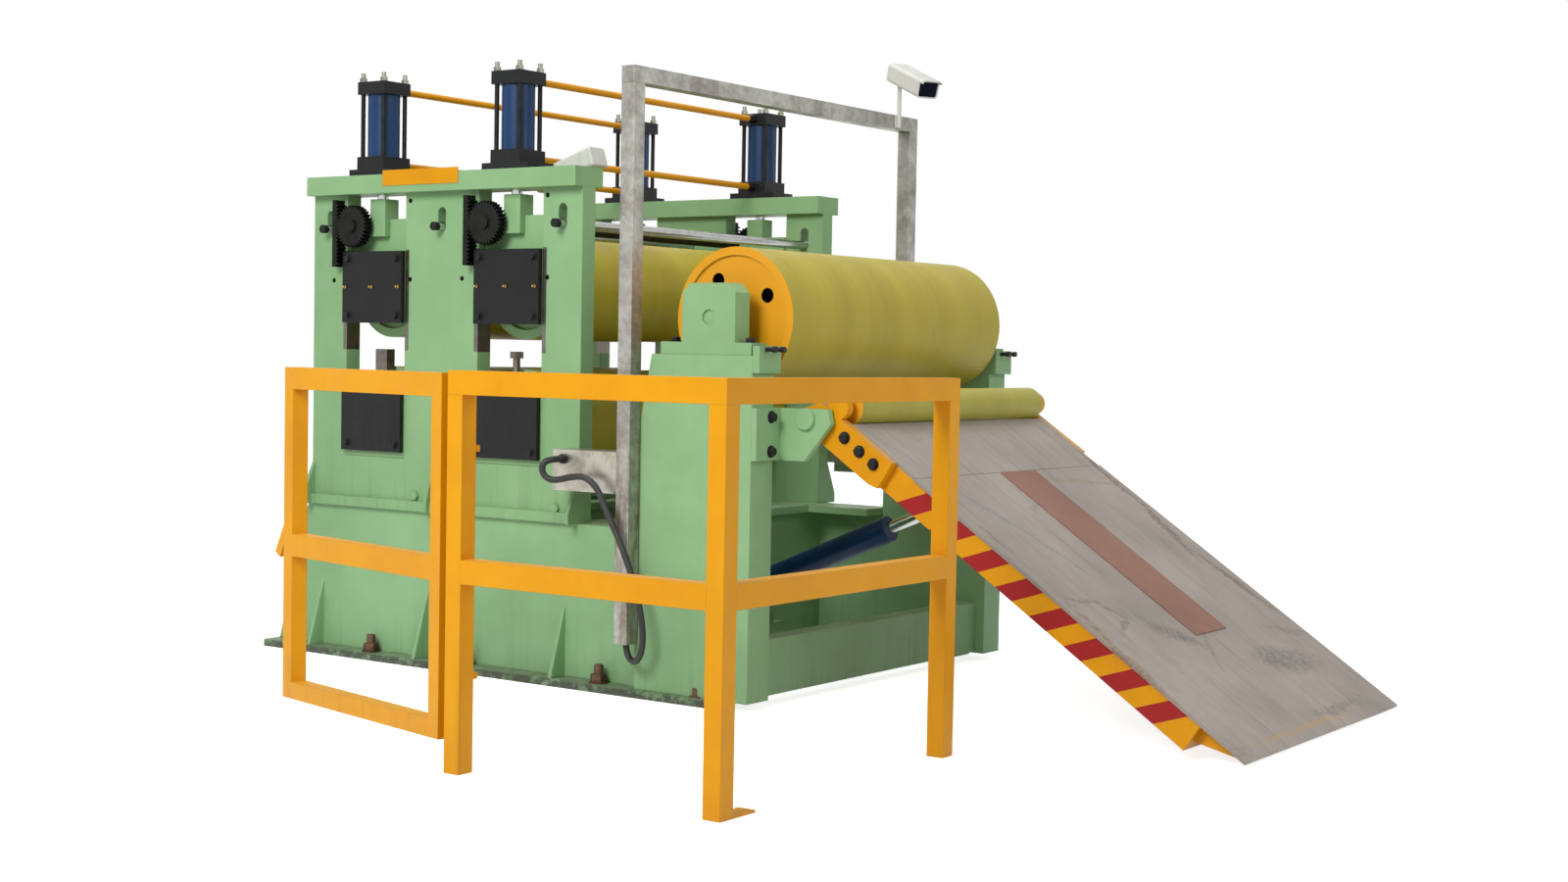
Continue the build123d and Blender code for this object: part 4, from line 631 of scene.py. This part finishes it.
# The same cover as on the pinch rolls, worn paler.
deflector_cover = elastomer(
    "olive_elastomer_deflector", "#B4A52A", "#A29424", "#605B33", deflector_x, deflector_z, "#E09B00"
)
dress(deflector_cover, "deflector_roll")
# Black cups inside the lightening holes of the roll's ends: painted shade of their deep insides.
hole_shade_cup = turned(
    [(0.0, 0.0), (0.0267, 0.0), (0.0267, 0.048), (0.0258, 0.048), (0.0258, 0.001), (0.0, 0.001)], 32
)
hole_circle = 0.16
hole_floor = 0.6825
for side, label in sides:
    floors = [
        (
            deflector_x + hole_circle * math.cos(angle),
            side * hole_floor,
            deflector_z + hole_circle * math.sin(angle),
        )
        for angle in np.radians([31, 121, 211, 301])
    ]
    shell(f"shaded_holes_{label}", [sown(hole_shade_cup, floors, (0, side, 0))], dark_hole, "deflector")
wide_head = (
    (0.0, 0.003),
    (0.0165, 0.003),
    (0.017, 0.005),
    (0.017, 0.0155),
    (0.0145, 0.0175),
    (0.0, 0.0175),
)
wide_washer = [(0.010, 0), (0.022, 0), (0.022, 0.003), (0.010, 0.003)]
wide_bolt = (turned(wide_washer, 24), turned(wide_head, 6))
seat_spots = [(x, side * 0.855, 1.302) for x in (1.196, 1.526) for side, _ in sides]
bolted("pillow_bolts", wide_bolt, seat_spots, (0, 0, 1), 3, black_enamel, "machine")
flange_spots = [(1.592, side * 0.812, z) for z in (0.920, 1.042) for side, _ in sides]
bolted("bracket_bolts", wide_bolt, flange_spots, (1, 0, 0), 4, black_enamel, "machine")


# Table frame: welded side arms in orange enamel with red warning stripes, hung from the stands.
# The primer shows on its upper faces, where boots have rubbed the paint.
hinge = (1.702, 0.0, 1.038)
table_turn = math.radians(33.8)
down_deck = (math.cos(table_turn), 0.0, -math.sin(table_turn))
off_deck = (math.sin(table_turn), 0.0, math.cos(table_turn))
first_stripe, stripe_step, stripe_count, stripe_lean = 0.470, 0.157, 8.0, -0.8
# Signal red on the rails' yellow, eight leaning stripes along each arm.
striped_enamel = orange_enamel.copy()
striped_enamel.name = "orange_enamel_with_red_stripes"
tree, shader, painted, place = coat_of(striped_enamel)
hinged = add(tree, "VectorMath", {0: place, 1: hinge}, operation="SUBTRACT").outputs[0]
down = add(tree, "VectorMath", {0: hinged, 1: down_deck}, operation="DOT_PRODUCT").outputs[1]
above = add(tree, "VectorMath", {0: hinged, 1: off_deck}, operation="DOT_PRODUCT").outputs[1]
lean = add(tree, "Math", {0: above, 1: stripe_lean, 2: down}, operation="MULTIPLY_ADD")
past_first = add(tree, "Math", {0: lean.outputs[0], 1: first_stripe}, operation="SUBTRACT")
count = add(tree, "Math", {0: past_first.outputs[0], 1: stripe_step}, operation="DIVIDE").outputs[0]
phase = add(tree, "Math", {0: count}, operation="FRACT")
red = add(tree, "Math", {0: phase.outputs[0], 1: 0.5}, operation="LESS_THAN")
after = add(tree, "Math", {0: count, 1: 0.0}, operation="GREATER_THAN")
before = add(tree, "Math", {0: count, 1: stripe_count}, operation="LESS_THAN")
band = add(tree, "Math", {0: after.outputs[0], 1: before.outputs[0]}, operation="MULTIPLY")
reds = add(tree, "Math", {0: red.outputs[0], 1: band.outputs[0]}, operation="MULTIPLY")
normal = add(tree, "NewGeometry").outputs["Normal"]
facing = add(tree, "SeparateXYZ", {0: normal}).outputs[1]
sideways = add(tree, "Math", {0: facing}, operation="ABSOLUTE")
on_side = add(tree, "Math", {0: sideways.outputs[0], 1: 0.9}, operation="GREATER_THAN")
shown = add(tree, "Math", {0: reds.outputs[0], 1: on_side.outputs[0]}, operation="MULTIPLY")
striped = add(
    tree, "Mix", {0: shown.outputs[0], 6: painted, 7: linear("#9B1B1C")}, data_type="RGBA"
)
upward = add(tree, "VectorMath", {0: normal, 1: off_deck}, operation="DOT_PRODUCT")
trodden = add(tree, "MapRange", {0: upward.outputs[1], 1: 0.8, 2: 0.95})
rubbing = add(tree, "TexNoise", {"Vector": place, "Scale": 9.0, "Detail": 8.0, "Roughness": 0.7})
thin = add(tree, "MapRange", {0: rubbing.outputs[0], 1: 0.4, 2: 0.6, 3: 0.25, 4: 0.9})
primer = add(tree, "Math", {0: trodden.outputs[0], 1: thin.outputs[0]}, operation="MULTIPLY")
rubbed = add(
    tree,
    "Mix",
    {0: primer.outputs[0], 6: striped.outputs[2], 7: linear("#B08A5E")},
    data_type="RGBA",
)
tree.links.new(rubbed.outputs[2], shader.inputs["Base Color"])
dress(striped_enamel, "table_frame")


def on_table(u, v):
    """A place on the table: u runs down the deck from the hinge, v stands square to it."""
    x = hinge[0] + u * down_deck[0] + v * off_deck[0]
    return x, hinge[2] + u * down_deck[2] + v * off_deck[2]


for side, label in sides:
    heads = (on_table(0.153, 0.028), on_table(0.230, 0.025), on_table(0.302, 0.023))
    arm_spots = [(x, side * 0.724, z) for x, z in heads]
    bolted(f"arm_bolts_{label}", wide_bolt, arm_spots, (0, side, 0), 5, black_enamel, "table")
# Greener than the pinch rolls' cover, and matt.
roller_green = elastomer(
    "olive_green_elastomer", "#ABA438", "#9A9432", "#6F6C36", 1.812, 1.081, "#E09B00"
)
dress(roller_green, "table_roller")


# Table deck: steel plates painted beige, rubbed and smeared by the coil ends that slide over
# them, with a brown wear strip laid along the middle.
# Beige grey and dull. Grain, smears and pale scratches run down the deck; 19 marks lie on it.
deck_paint, tree, place = blank("rubbed_beige_deck_paint")
level = add(tree, "Mapping", {"Vector": place, "Rotation": (0.0, -table_turn, 0.0)}).outputs[0]
broad = add(tree, "TexNoise", {"Vector": level, "Scale": 2.6, "Detail": 7.0, "Roughness": 0.62})
tone = add(tree, "MapRange", {0: broad.outputs[0], 1: 0.36, 2: 0.66})
body = add(
    tree,
    "Mix",
    {0: tone.outputs[0], 6: linear("#9B9086"), 7: linear("#867D74")},
    data_type="RGBA",
)
long_marks = add(tree, "Mapping", {"Vector": level, "Scale": (2.0, 26.0, 26.0)})
drag = add(
    tree,
    "TexNoise",
    {"Vector": long_marks.outputs[0], "Scale": 1.0, "Detail": 8.0, "Roughness": 0.72},
)
dragged = add(tree, "MapRange", {0: drag.outputs[0], 1: 0.56, 2: 0.74, 4: 0.75})
grey = add(
    tree,
    "Mix",
    {0: dragged.outputs[0], 6: body.outputs[2], 7: linear("#6B6A67")},
    data_type="RGBA",
)
smears = add(
    tree,
    "TexNoise",
    {"Vector": level, "Scale": 4.3, "Detail": 9.0, "Roughness": 0.66, "Distortion": 0.9},
)
smeared = add(tree, "MapRange", {0: smears.outputs[0], 1: 0.61, 2: 0.74, 4: 0.7})
oily = add(
    tree,
    "Mix",
    {0: smeared.outputs[0], 6: grey.outputs[2], 7: linear("#5C5548")},
    data_type="RGBA",
)
fine_lines = add(
    tree, "Mapping", {"Vector": level, "Scale": (1.4, 60.0, 60.0), "Location": (3.0, 1.0, 0.0)}
)
scratch = add(
    tree,
    "TexNoise",
    {"Vector": fine_lines.outputs[0], "Scale": 1.0, "Detail": 6.0, "Roughness": 0.8},
)
scratched = add(tree, "MapRange", {0: scratch.outputs[0], 1: 0.62, 2: 0.76, 4: 0.6})
finished = add(
    tree,
    "Mix",
    {0: scratched.outputs[0], 6: oily.outputs[2], 7: linear("#B5ACA1")},
    data_type="RGBA",
)
hinged = add(tree, "VectorMath", {0: place, 1: hinge}, operation="SUBTRACT")
unturned = add(
    tree,
    "VectorRotate",
    {"Vector": hinged.outputs[0], "Angle": -table_turn},
    rotation_type="Y_AXIS",
)
ragged = add(tree, "TexNoise", {"Vector": place, "Scale": 11.0, "Detail": 6.0, "Roughness": 0.7})
sway = add(
    tree, "VectorMath", {0: ragged.outputs["Color"], 1: (0.5, 0.5, 0.5)}, operation="SUBTRACT"
)
swayed = add(
    tree,
    "VectorMath",
    {0: sway.outputs[0], 1: (0.09, 0.09, 0.0), 2: unturned.outputs[0]},
    operation="MULTIPLY_ADD",
)
grain = add(tree, "TexNoise", {"Vector": place, "Scale": 60.0, "Detail": 5.0, "Roughness": 0.75})
broken = add(tree, "MapRange", {0: grain.outputs[0], 1: 0.36, 2: 0.56})
# Marks of coil ends and boots, one line each: place down the deck and across it, half length and
# half width in metres, angle in degrees, colour and strength.
for down, over, half_length, half_width, angle, stain, strength in (
    (0.545, 0.389, 0.26, 0.012, 81.6, "#86704F", 0.6),
    (0.520, 0.655, 0.16, 0.020, -6.0, "#564534", 0.9),
    (0.830, 0.615, 0.22, 0.026, -15.0, "#564534", 0.9),
    (1.200, 0.635, 0.22, 0.022, 8.0, "#5A4A3A", 0.9),
    (0.670, -0.470, 0.13, 0.014, 28.0, "#69757C", 0.8),
    (0.900, -0.365, 0.15, 0.012, 18.0, "#69757C", 0.7),
    (1.145, -0.565, 0.09, 0.013, 77.0, "#58544F", 0.7),
    (1.210, -0.454, 0.07, 0.012, 40.0, "#58544F", 0.7),
    (1.280, -0.475, 0.07, 0.012, -67.0, "#58544F", 0.7),
    (1.380, -0.225, 0.12, 0.040, 59.0, "#4F4A45", 0.7),
    (1.600, 0.300, 0.23, 0.070, 80.0, "#4A4541", 0.65),
    (1.370, -0.685, 0.26, 0.022, -5.0, "#765A3B", 0.9),
    (0.800, -0.640, 0.10, 0.016, 10.0, "#655F57", 0.6),
    (1.484, 0.580, 0.15, 0.018, 71.0, "#645B50", 0.5),
    (0.280, -0.610, 0.15, 0.013, 24.0, "#737B82", 0.6),
    (0.320, 0.688, 0.10, 0.014, 0.0, "#A87F4A", 0.8),
    (1.458, -0.100, 0.15, 0.014, -41.0, "#5A5652", 0.5),
    (1.855, 0.238, 0.24, 0.020, 88.0, "#625D57", 0.6),
    (1.885, -0.100, 0.50, 0.012, 90.0, "#B5872A", 0.5),
):
    c, s = math.cos(math.radians(angle)), math.sin(math.radians(angle))
    centre = (down, over, 0.0)
    middle = add(tree, "VectorMath", {0: swayed.outputs[0], 1: centre}, operation="SUBTRACT")
    lengthways = add(
        tree,
        "VectorMath",
        {0: middle.outputs[0], 1: (c / half_length, s / half_length, 0.0)},
        operation="DOT_PRODUCT",
    )
    sideways = add(
        tree,
        "VectorMath",
        {0: middle.outputs[0], 1: (-s / half_width, c / half_width, 0.0)},
        operation="DOT_PRODUCT",
    )
    spot = add(tree, "CombineXYZ", {0: lengthways.outputs[1], 1: sideways.outputs[1]})
    reach = add(tree, "VectorMath", {0: spot.outputs[0]}, operation="LENGTH")
    patch = add(tree, "MapRange", {0: reach.outputs[1], 1: 1.25, 2: 0.55, 4: strength})
    cover = add(tree, "Math", {0: patch.outputs[0], 1: broken.outputs[0]}, operation="MULTIPLY")
    finished = add(
        tree,
        "Mix",
        {0: cover.outputs[0], 6: finished.outputs[2], 7: linear(stain)},
        data_type="RGBA",
    )
rough = add(tree, "MapRange", {0: drag.outputs[0], 1: 0.3, 2: 0.7, 3: 0.42, 4: 0.62})
soft = add(tree, "Bevel", {"Radius": 0.002}, samples=4)
bump = add(
    tree,
    "Bump",
    {
        "Strength": 0.25,
        "Distance": 0.0008,
        "Height": drag.outputs[0],
        "Normal": soft.outputs[0],
    },
)
shader = add(
    tree,
    "BsdfPrincipled",
    {
        "Base Color": finished.outputs[2],
        "Roughness": rough.outputs[0],
        "IOR": 1.5,
        "Normal": bump.outputs[0],
    },
)
add(tree, "OutputMaterial", {0: shader.outputs[0]})
dress(deck_paint, "table_deck")
# Red-brown and matt.
strip_brown = enamel(
    "brown_wear_strip", "#8F6A5B", "#845F52", "#6A5548", "#6E5A4E", gloss=0.6, worn=0.1, dusty=0.2
)
dress(strip_brown, "deck_strip")


# Gantry: square tube, hot-dip galvanised, welded at the corners, with a plate in each open end.
# It carries a camera over the strip and a junction box on the near post.
# Zinc grains 18 mm across in two greys, clouded dull, with brown weeps low on the posts.
galvanised, tree, place = blank("hot_dip_galvanised_tube")
spangle = add(tree, "TexVoronoi", {"Vector": place, "Scale": 55.0})
shade = add(tree, "SeparateColor", {0: spangle.outputs["Color"]}).outputs[0]
tone = add(tree, "MapRange", {0: shade, 4: 0.7})
body = add(
    tree,
    "Mix",
    {0: tone.outputs[0], 6: linear("#A4A39D"), 7: linear("#BDBBB2")},
    data_type="RGBA",
)
cloud = add(tree, "TexNoise", {"Vector": place, "Scale": 7.0, "Detail": 7.0, "Roughness": 0.7})
dull = add(tree, "MapRange", {0: cloud.outputs[0], 1: 0.40, 2: 0.64, 4: 0.85})
greyed = add(
    tree,
    "Mix",
    {0: dull.outputs[0], 6: body.outputs[2], 7: linear("#77746D")},
    data_type="RGBA",
)
height = add(tree, "SeparateXYZ", {0: place}).outputs[2]
damp = add(tree, "MapRange", {0: height, 1: 1.15, 2: 0.7, 4: 0.85})
weeps = add(tree, "Mapping", {"Vector": place, "Scale": (26.0, 26.0, 4.0)})
weeping = add(
    tree,
    "TexNoise",
    {"Vector": weeps.outputs[0], "Scale": 1.0, "Detail": 5.0, "Roughness": 0.65},
)
rusted = add(tree, "MapRange", {0: weeping.outputs[0], 1: 0.48, 2: 0.66})
rusting = add(tree, "Math", {0: damp.outputs[0], 1: rusted.outputs[0]}, operation="MULTIPLY")
stained = add(
    tree,
    "Mix",
    {0: rusting.outputs[0], 6: greyed.outputs[2], 7: linear("#6B5038")},
    data_type="RGBA",
)
rough = add(tree, "MapRange", {0: cloud.outputs[0], 1: 0.3, 2: 0.7, 3: 0.36, 4: 0.6})
soft = add(tree, "Bevel", {"Radius": 0.004}, samples=4)
bump = add(
    tree,
    "Bump",
    {
        "Strength": 0.1,
        "Distance": 0.0008,
        "Height": cloud.outputs[0],
        "Normal": soft.outputs[0],
    },
)
shader = add(
    tree,
    "BsdfPrincipled",
    {
        "Base Color": stained.outputs[2],
        "Metallic": 0.85,
        "Roughness": rough.outputs[0],
        "Normal": bump.outputs[0],
    },
)
add(tree, "OutputMaterial", {0: shader.outputs[0]})
dress(galvanised, "gantry_post_near", "gantry_post_far", "gantry_beam")
end_levels = [(0.028, -0.002), (0.0, -0.002), (0.0, 0.002), (0.0008, 0.0025), (0.028, 0.0025)]
end_plate = plaque(0.058, 0.058, end_levels, 0.003)
for side, label in sides:
    plate_grid = set_in(end_plate, (1.045, side * 0.966, 2.26), (-side, 0, 0), (0, 0, 1))
    shell(f"gantry_end_{label}", [plate_grid], galvanised, "machine")
# Brushed sheet, bright along its grain, with greasy hand marks.
box_steel = metal(
    "folded_stainless_sheet", "#B9B5AA", "#8A7F6E", 0.36, grain=(3.0, 60.0, 60.0), stained=0.8
)
dress(box_steel, "gantry_boxes")


# Cable: a stiff sheathed cable 24 mm thick, held by a gland in the junction box. It hangs in an
# arc and turns up into the open lower end of the post.
gland_profile = (
    (0.012, 0.0),
    (0.0185, 0.0),
    (0.0185, 0.014),
    (0.016, 0.016),
    (0.0145, 0.024),
    (0.012, 0.025),
)
gland_grid = sown(turned(gland_profile, 12), [(0.748, -0.9455, 0.862)], (0, -1, 0))
gland = shell("cable_gland", [gland_grid], black_enamel, "machine")
# Black with grey scuffs and hardly a sheen.
sheath = elastomer("black_cable_sheath", "#1C1C1B", "#161615", "#3A3936", 1.0, 0.5)
route = (
    (0.748, -0.970, 0.862),
    (0.750, -1.004, 0.862),
    (0.728, -1.036, 0.854),
    (0.722, -1.042, 0.818),
    (0.744, -1.034, 0.790),
    (0.778, -1.020, 0.786),
    (0.832, -1.008, 0.800),
    (0.884, -0.998, 0.806),
    (0.928, -0.992, 0.784),
    (0.960, -0.988, 0.742),
    (0.987, -0.987, 0.690),
    (1.020, -0.986, 0.632),
    (1.056, -0.985, 0.572),
    (1.092, -0.986, 0.500),
    (1.126, -0.988, 0.428),
    (1.150, -0.990, 0.356),
    (1.166, -0.990, 0.290),
    (1.168, -0.986, 0.226),
    (1.150, -0.976, 0.172),
    (1.112, -0.958, 0.140),
    (1.070, -0.942, 0.146),
    (1.048, -0.937, 0.186),
    (1.045, -0.936, 0.240),
)
line = bpy.data.curves.new("box_cable", "CURVE")
line.dimensions = "3D"
line.bevel_depth = 0.012
line.bevel_resolution = 5
line.resolution_u = 8
line.use_fill_caps = True
spline = line.splines.new("NURBS")
spline.points.add(len(route) - 1)
for point, place in zip(spline.points, route):
    point.co = (*place, 1.0)
spline.order_u = 3
spline.use_endpoint_u = True
line.materials.append(sheath)
cable = bpy.data.objects.new("box_cable", line)
bpy.context.scene.collection.objects.link(cable)
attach(cable, "machine")


# Cameras: powder-coated housings with a hood over a dark window, each on a rod and a strap. One
# looks along the strip from the near cap, the other looks down from the gantry.
# A warm white with a low gloss.
camera_white = enamel(
    "camera_powder_coat",
    "#D8D8D2",
    "#C9C9C2",
    "#8E8C82",
    "#9A9890",
    gloss=0.4,
    soiled=(1.9, 2.3),
    worn=0.1,
)
# Smooth and nearly black.
window_glass = metal("dark_window_glass", "#0D1016", "#171B22", 0.12, stained=0.2, relief=0.0)
body_levels = (
    (0.040, 0.0),
    (0.006, 0.0),
    (0.0, 0.006),
    (0.0, 0.300),
    (0.006, 0.300),
    (0.006, 0.295),
    (0.040, 0.295),
)
camera_body = plaque(0.096, 0.080, body_levels, 0.016)
# The hood is the upper half of a ring, so each of its ends closes on its middle point.
hood_levels = [(0.0, 0.300), (0.0, 0.326), (0.006, 0.326), (0.006, 0.300), (0.0, 0.300)]
hood = plaque(0.096, 0.080, hood_levels, 0.016)[:, :16]
hood_ends = [np.repeat(hood[:-1, end].mean(0)[None, None], len(hood), 0) for end in (0, -1)]
hood = np.concatenate([hood_ends[0], hood, hood_ends[1]], 1)
window_levels = [(0.033, 0.2952), (0.0, 0.2952), (0.0, 0.2965), (0.001, 0.297), (0.033, 0.297)]
window = plaque(0.082, 0.066, window_levels, 0.009)
strap = plaque(0.040, 0.050, [(0.020, 0.0), (0.0, 0.0), (0.0, 0.008), (0.020, 0.008)], 0.002)
arm = plaque(0.024, 0.024, [(0.012, 0.0), (0.0, 0.0), (0.0, 0.070), (0.012, 0.070)], 0.002)
rod_radius = 0.009
near_strap, far_strap = (0.557, -0.722, 1.920), (1.075, 0.800, 2.260)
for label, mount, aim, behind, foot, strap_at, strap_out in (
    ("near", (0.557, -0.660, 1.974), (-0.948, 0.0, -0.318), 0.100, 1.905, near_strap, (0, 1, 0)),
    ("far", (1.084, 0.800, 2.465), (0.816, -0.469, -0.337), 0.030, 2.235, far_strap, (1, 0, 0)),
):
    aim = np.array(aim) / np.linalg.norm(aim)
    level = np.array((-aim[1], aim[0], 0.0))
    up = np.cross(aim, level)
    rear = np.array(mount) - behind * aim
    rod_profile = [(0.0, foot), (rod_radius, foot), (rod_radius, mount[2]), (0.0, mount[2])]
    rod = turned(rod_profile, 20) + np.array((*mount[:2], 0.0))
    strap_across = np.cross((0, 0, 1), strap_out)
    grids = [set_in(camera_body, rear, level, up), rod[None]]
    grids += [set_in(strap, strap_at, strap_across, (0, 0, 1))]
    if label == "near":
        grids += [set_in(arm, (0.557, -0.716, 1.920), strap_across, (0, 0, 1))]
    housing = shell(f"camera_housing_{label}", grids, camera_white, "machine")
    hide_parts(f"camera_{label}")
    hood_grid = set_in(hood, rear, level, up)
    shell(f"camera_hood_{label}", [hood_grid], camera_white, "machine", round_rows=False)
    window_grid = set_in(window, rear, level, up)
    shell(f"camera_window_{label}", [window_grid], window_glass, "machine")


# Guard rail and gate: welded square tube with a brushed coat of orange-yellow enamel. It stands
# by itself, and its corner post has a foot plate that shows beside the post.
dress(orange_enamel, "guard_posts", "guard_top_rail", "guard_middle_rails", "gate", "gate_hinges")
foot_levels = [(0.030, 0.0), (0.0, 0.0), (0.0, 0.007), (0.001, 0.008), (0.030, 0.008)]
post_foot = plaque(0.060, 0.165, foot_levels, 0.002)
foot_grid = set_in(post_foot, (2.490, -2.2375, 0.0), (1, 0, 0), (0, 1, 0))
shell("corner_post_foot", [foot_grid], orange_enamel, "machine")


# Studio: a pale floor and a white room, three soft area lamps and the photograph's camera. The
# full white is for the eye and for reflections; lamps and a dim sky light the object.
def white_when_seen(tree, lighting, white):
    """The white shader for the camera and for reflected and transmitted rays, and the lighting
    shader for the diffuse rays that light the object."""
    rays = add(tree, "LightPath").outputs
    mirrored = add(
        tree, "Math", {0: rays["Is Camera Ray"], 1: rays["Is Glossy Ray"]}, operation="MAXIMUM"
    )
    seen = add(
        tree,
        "Math",
        {0: mirrored.outputs[0], 1: rays["Is Transmission Ray"]},
        operation="MAXIMUM",
    )
    return add(tree, "MixShader", {0: seen.outputs[0], 1: lighting, 2: white}).outputs[0]


floor_mesh = bpy.data.meshes.new("floor")
floor_mesh.from_pydata([(-40, -40, 0), (40, -40, 0), (40, 40, 0), (-40, 40, 0)], [], [(0, 1, 2, 3)])
floor = bpy.data.objects.new("floor", floor_mesh)
bpy.context.scene.collection.objects.link(floor)
# The matt part keeps the object's shadow, and the glow lifts the rest to white.
floor_paint, tree, place = blank("pale_floor")
matte = add(tree, "BsdfPrincipled", {"Base Color": linear("#E4E4E2"), "Roughness": 0.9}).outputs[0]
glow = add(tree, "Emission", {0: linear("#FFFFFF"), 1: 0.8}).outputs[0]
lit_floor = add(tree, "AddShader", {0: matte, 1: glow}).outputs[0]
add(tree, "OutputMaterial", {0: white_when_seen(tree, matte, lit_floor)})
floor_mesh.materials.append(floor_paint)

world = bpy.data.worlds.new("studio")
bpy.context.scene.world = world
world.use_nodes = True
tree = world.node_tree
tree.nodes.clear()
soft_sky = add(tree, "Background", {0: linear("#FCFDFF"), 1: 0.32}).outputs[0]
white_sky = add(tree, "Background", {0: linear("#FFFFFF"), 1: 1.0}).outputs[0]
add(tree, "OutputWorld", {0: white_when_seen(tree, soft_sky, white_sky)})

for name, at, aim, size, watts in (
    ("key_lamp", (1.6, -7.0, 5.2), (0.4, -0.4, 1.0), 3.0, 400),
    ("fill_lamp", (7.5, -0.5, 3.6), (1.0, 0.0, 1.0), 3.5, 105),
    ("top_lamp", (-0.5, 0.5, 7.0), (0.3, 0.0, 1.0), 4.0, 190),
):
    lamp_data = bpy.data.lights.new(name, "AREA")
    lamp_data.energy = watts
    lamp_data.size = size
    lamp = bpy.data.objects.new(name, lamp_data)
    bpy.context.scene.collection.objects.link(lamp)
    lamp.location = at
    ray = np.array(aim) - np.array(at)
    reach = math.hypot(ray[0], ray[1])
    lamp.rotation_euler = (math.atan2(reach, -ray[2]), 0.0, math.atan2(-ray[0], ray[1]))

# The camera stands at the place that was fitted to the photograph.
camera_at = (5.850, -6.788, 1.272)
heading, dip, roll = 0.6128, 0.0427, 0.0184
view = bpy.data.cameras.new("photo_camera")
view.sensor_width = 36.0
view.lens = 47.85
view.clip_end = 100.0
eye = bpy.data.objects.new("photo_camera", view)
bpy.context.scene.collection.objects.link(eye)
tilt = Matrix.Rotation(math.pi / 2 - dip, 4, "X") @ Matrix.Rotation(roll, 4, "Z")
eye.matrix_world = Matrix.Translation(camera_at) @ Matrix.Rotation(heading, 4, "Z") @ tilt
bpy.context.scene.camera = eye
bpy.context.scene.view_settings.view_transform = "Standard"
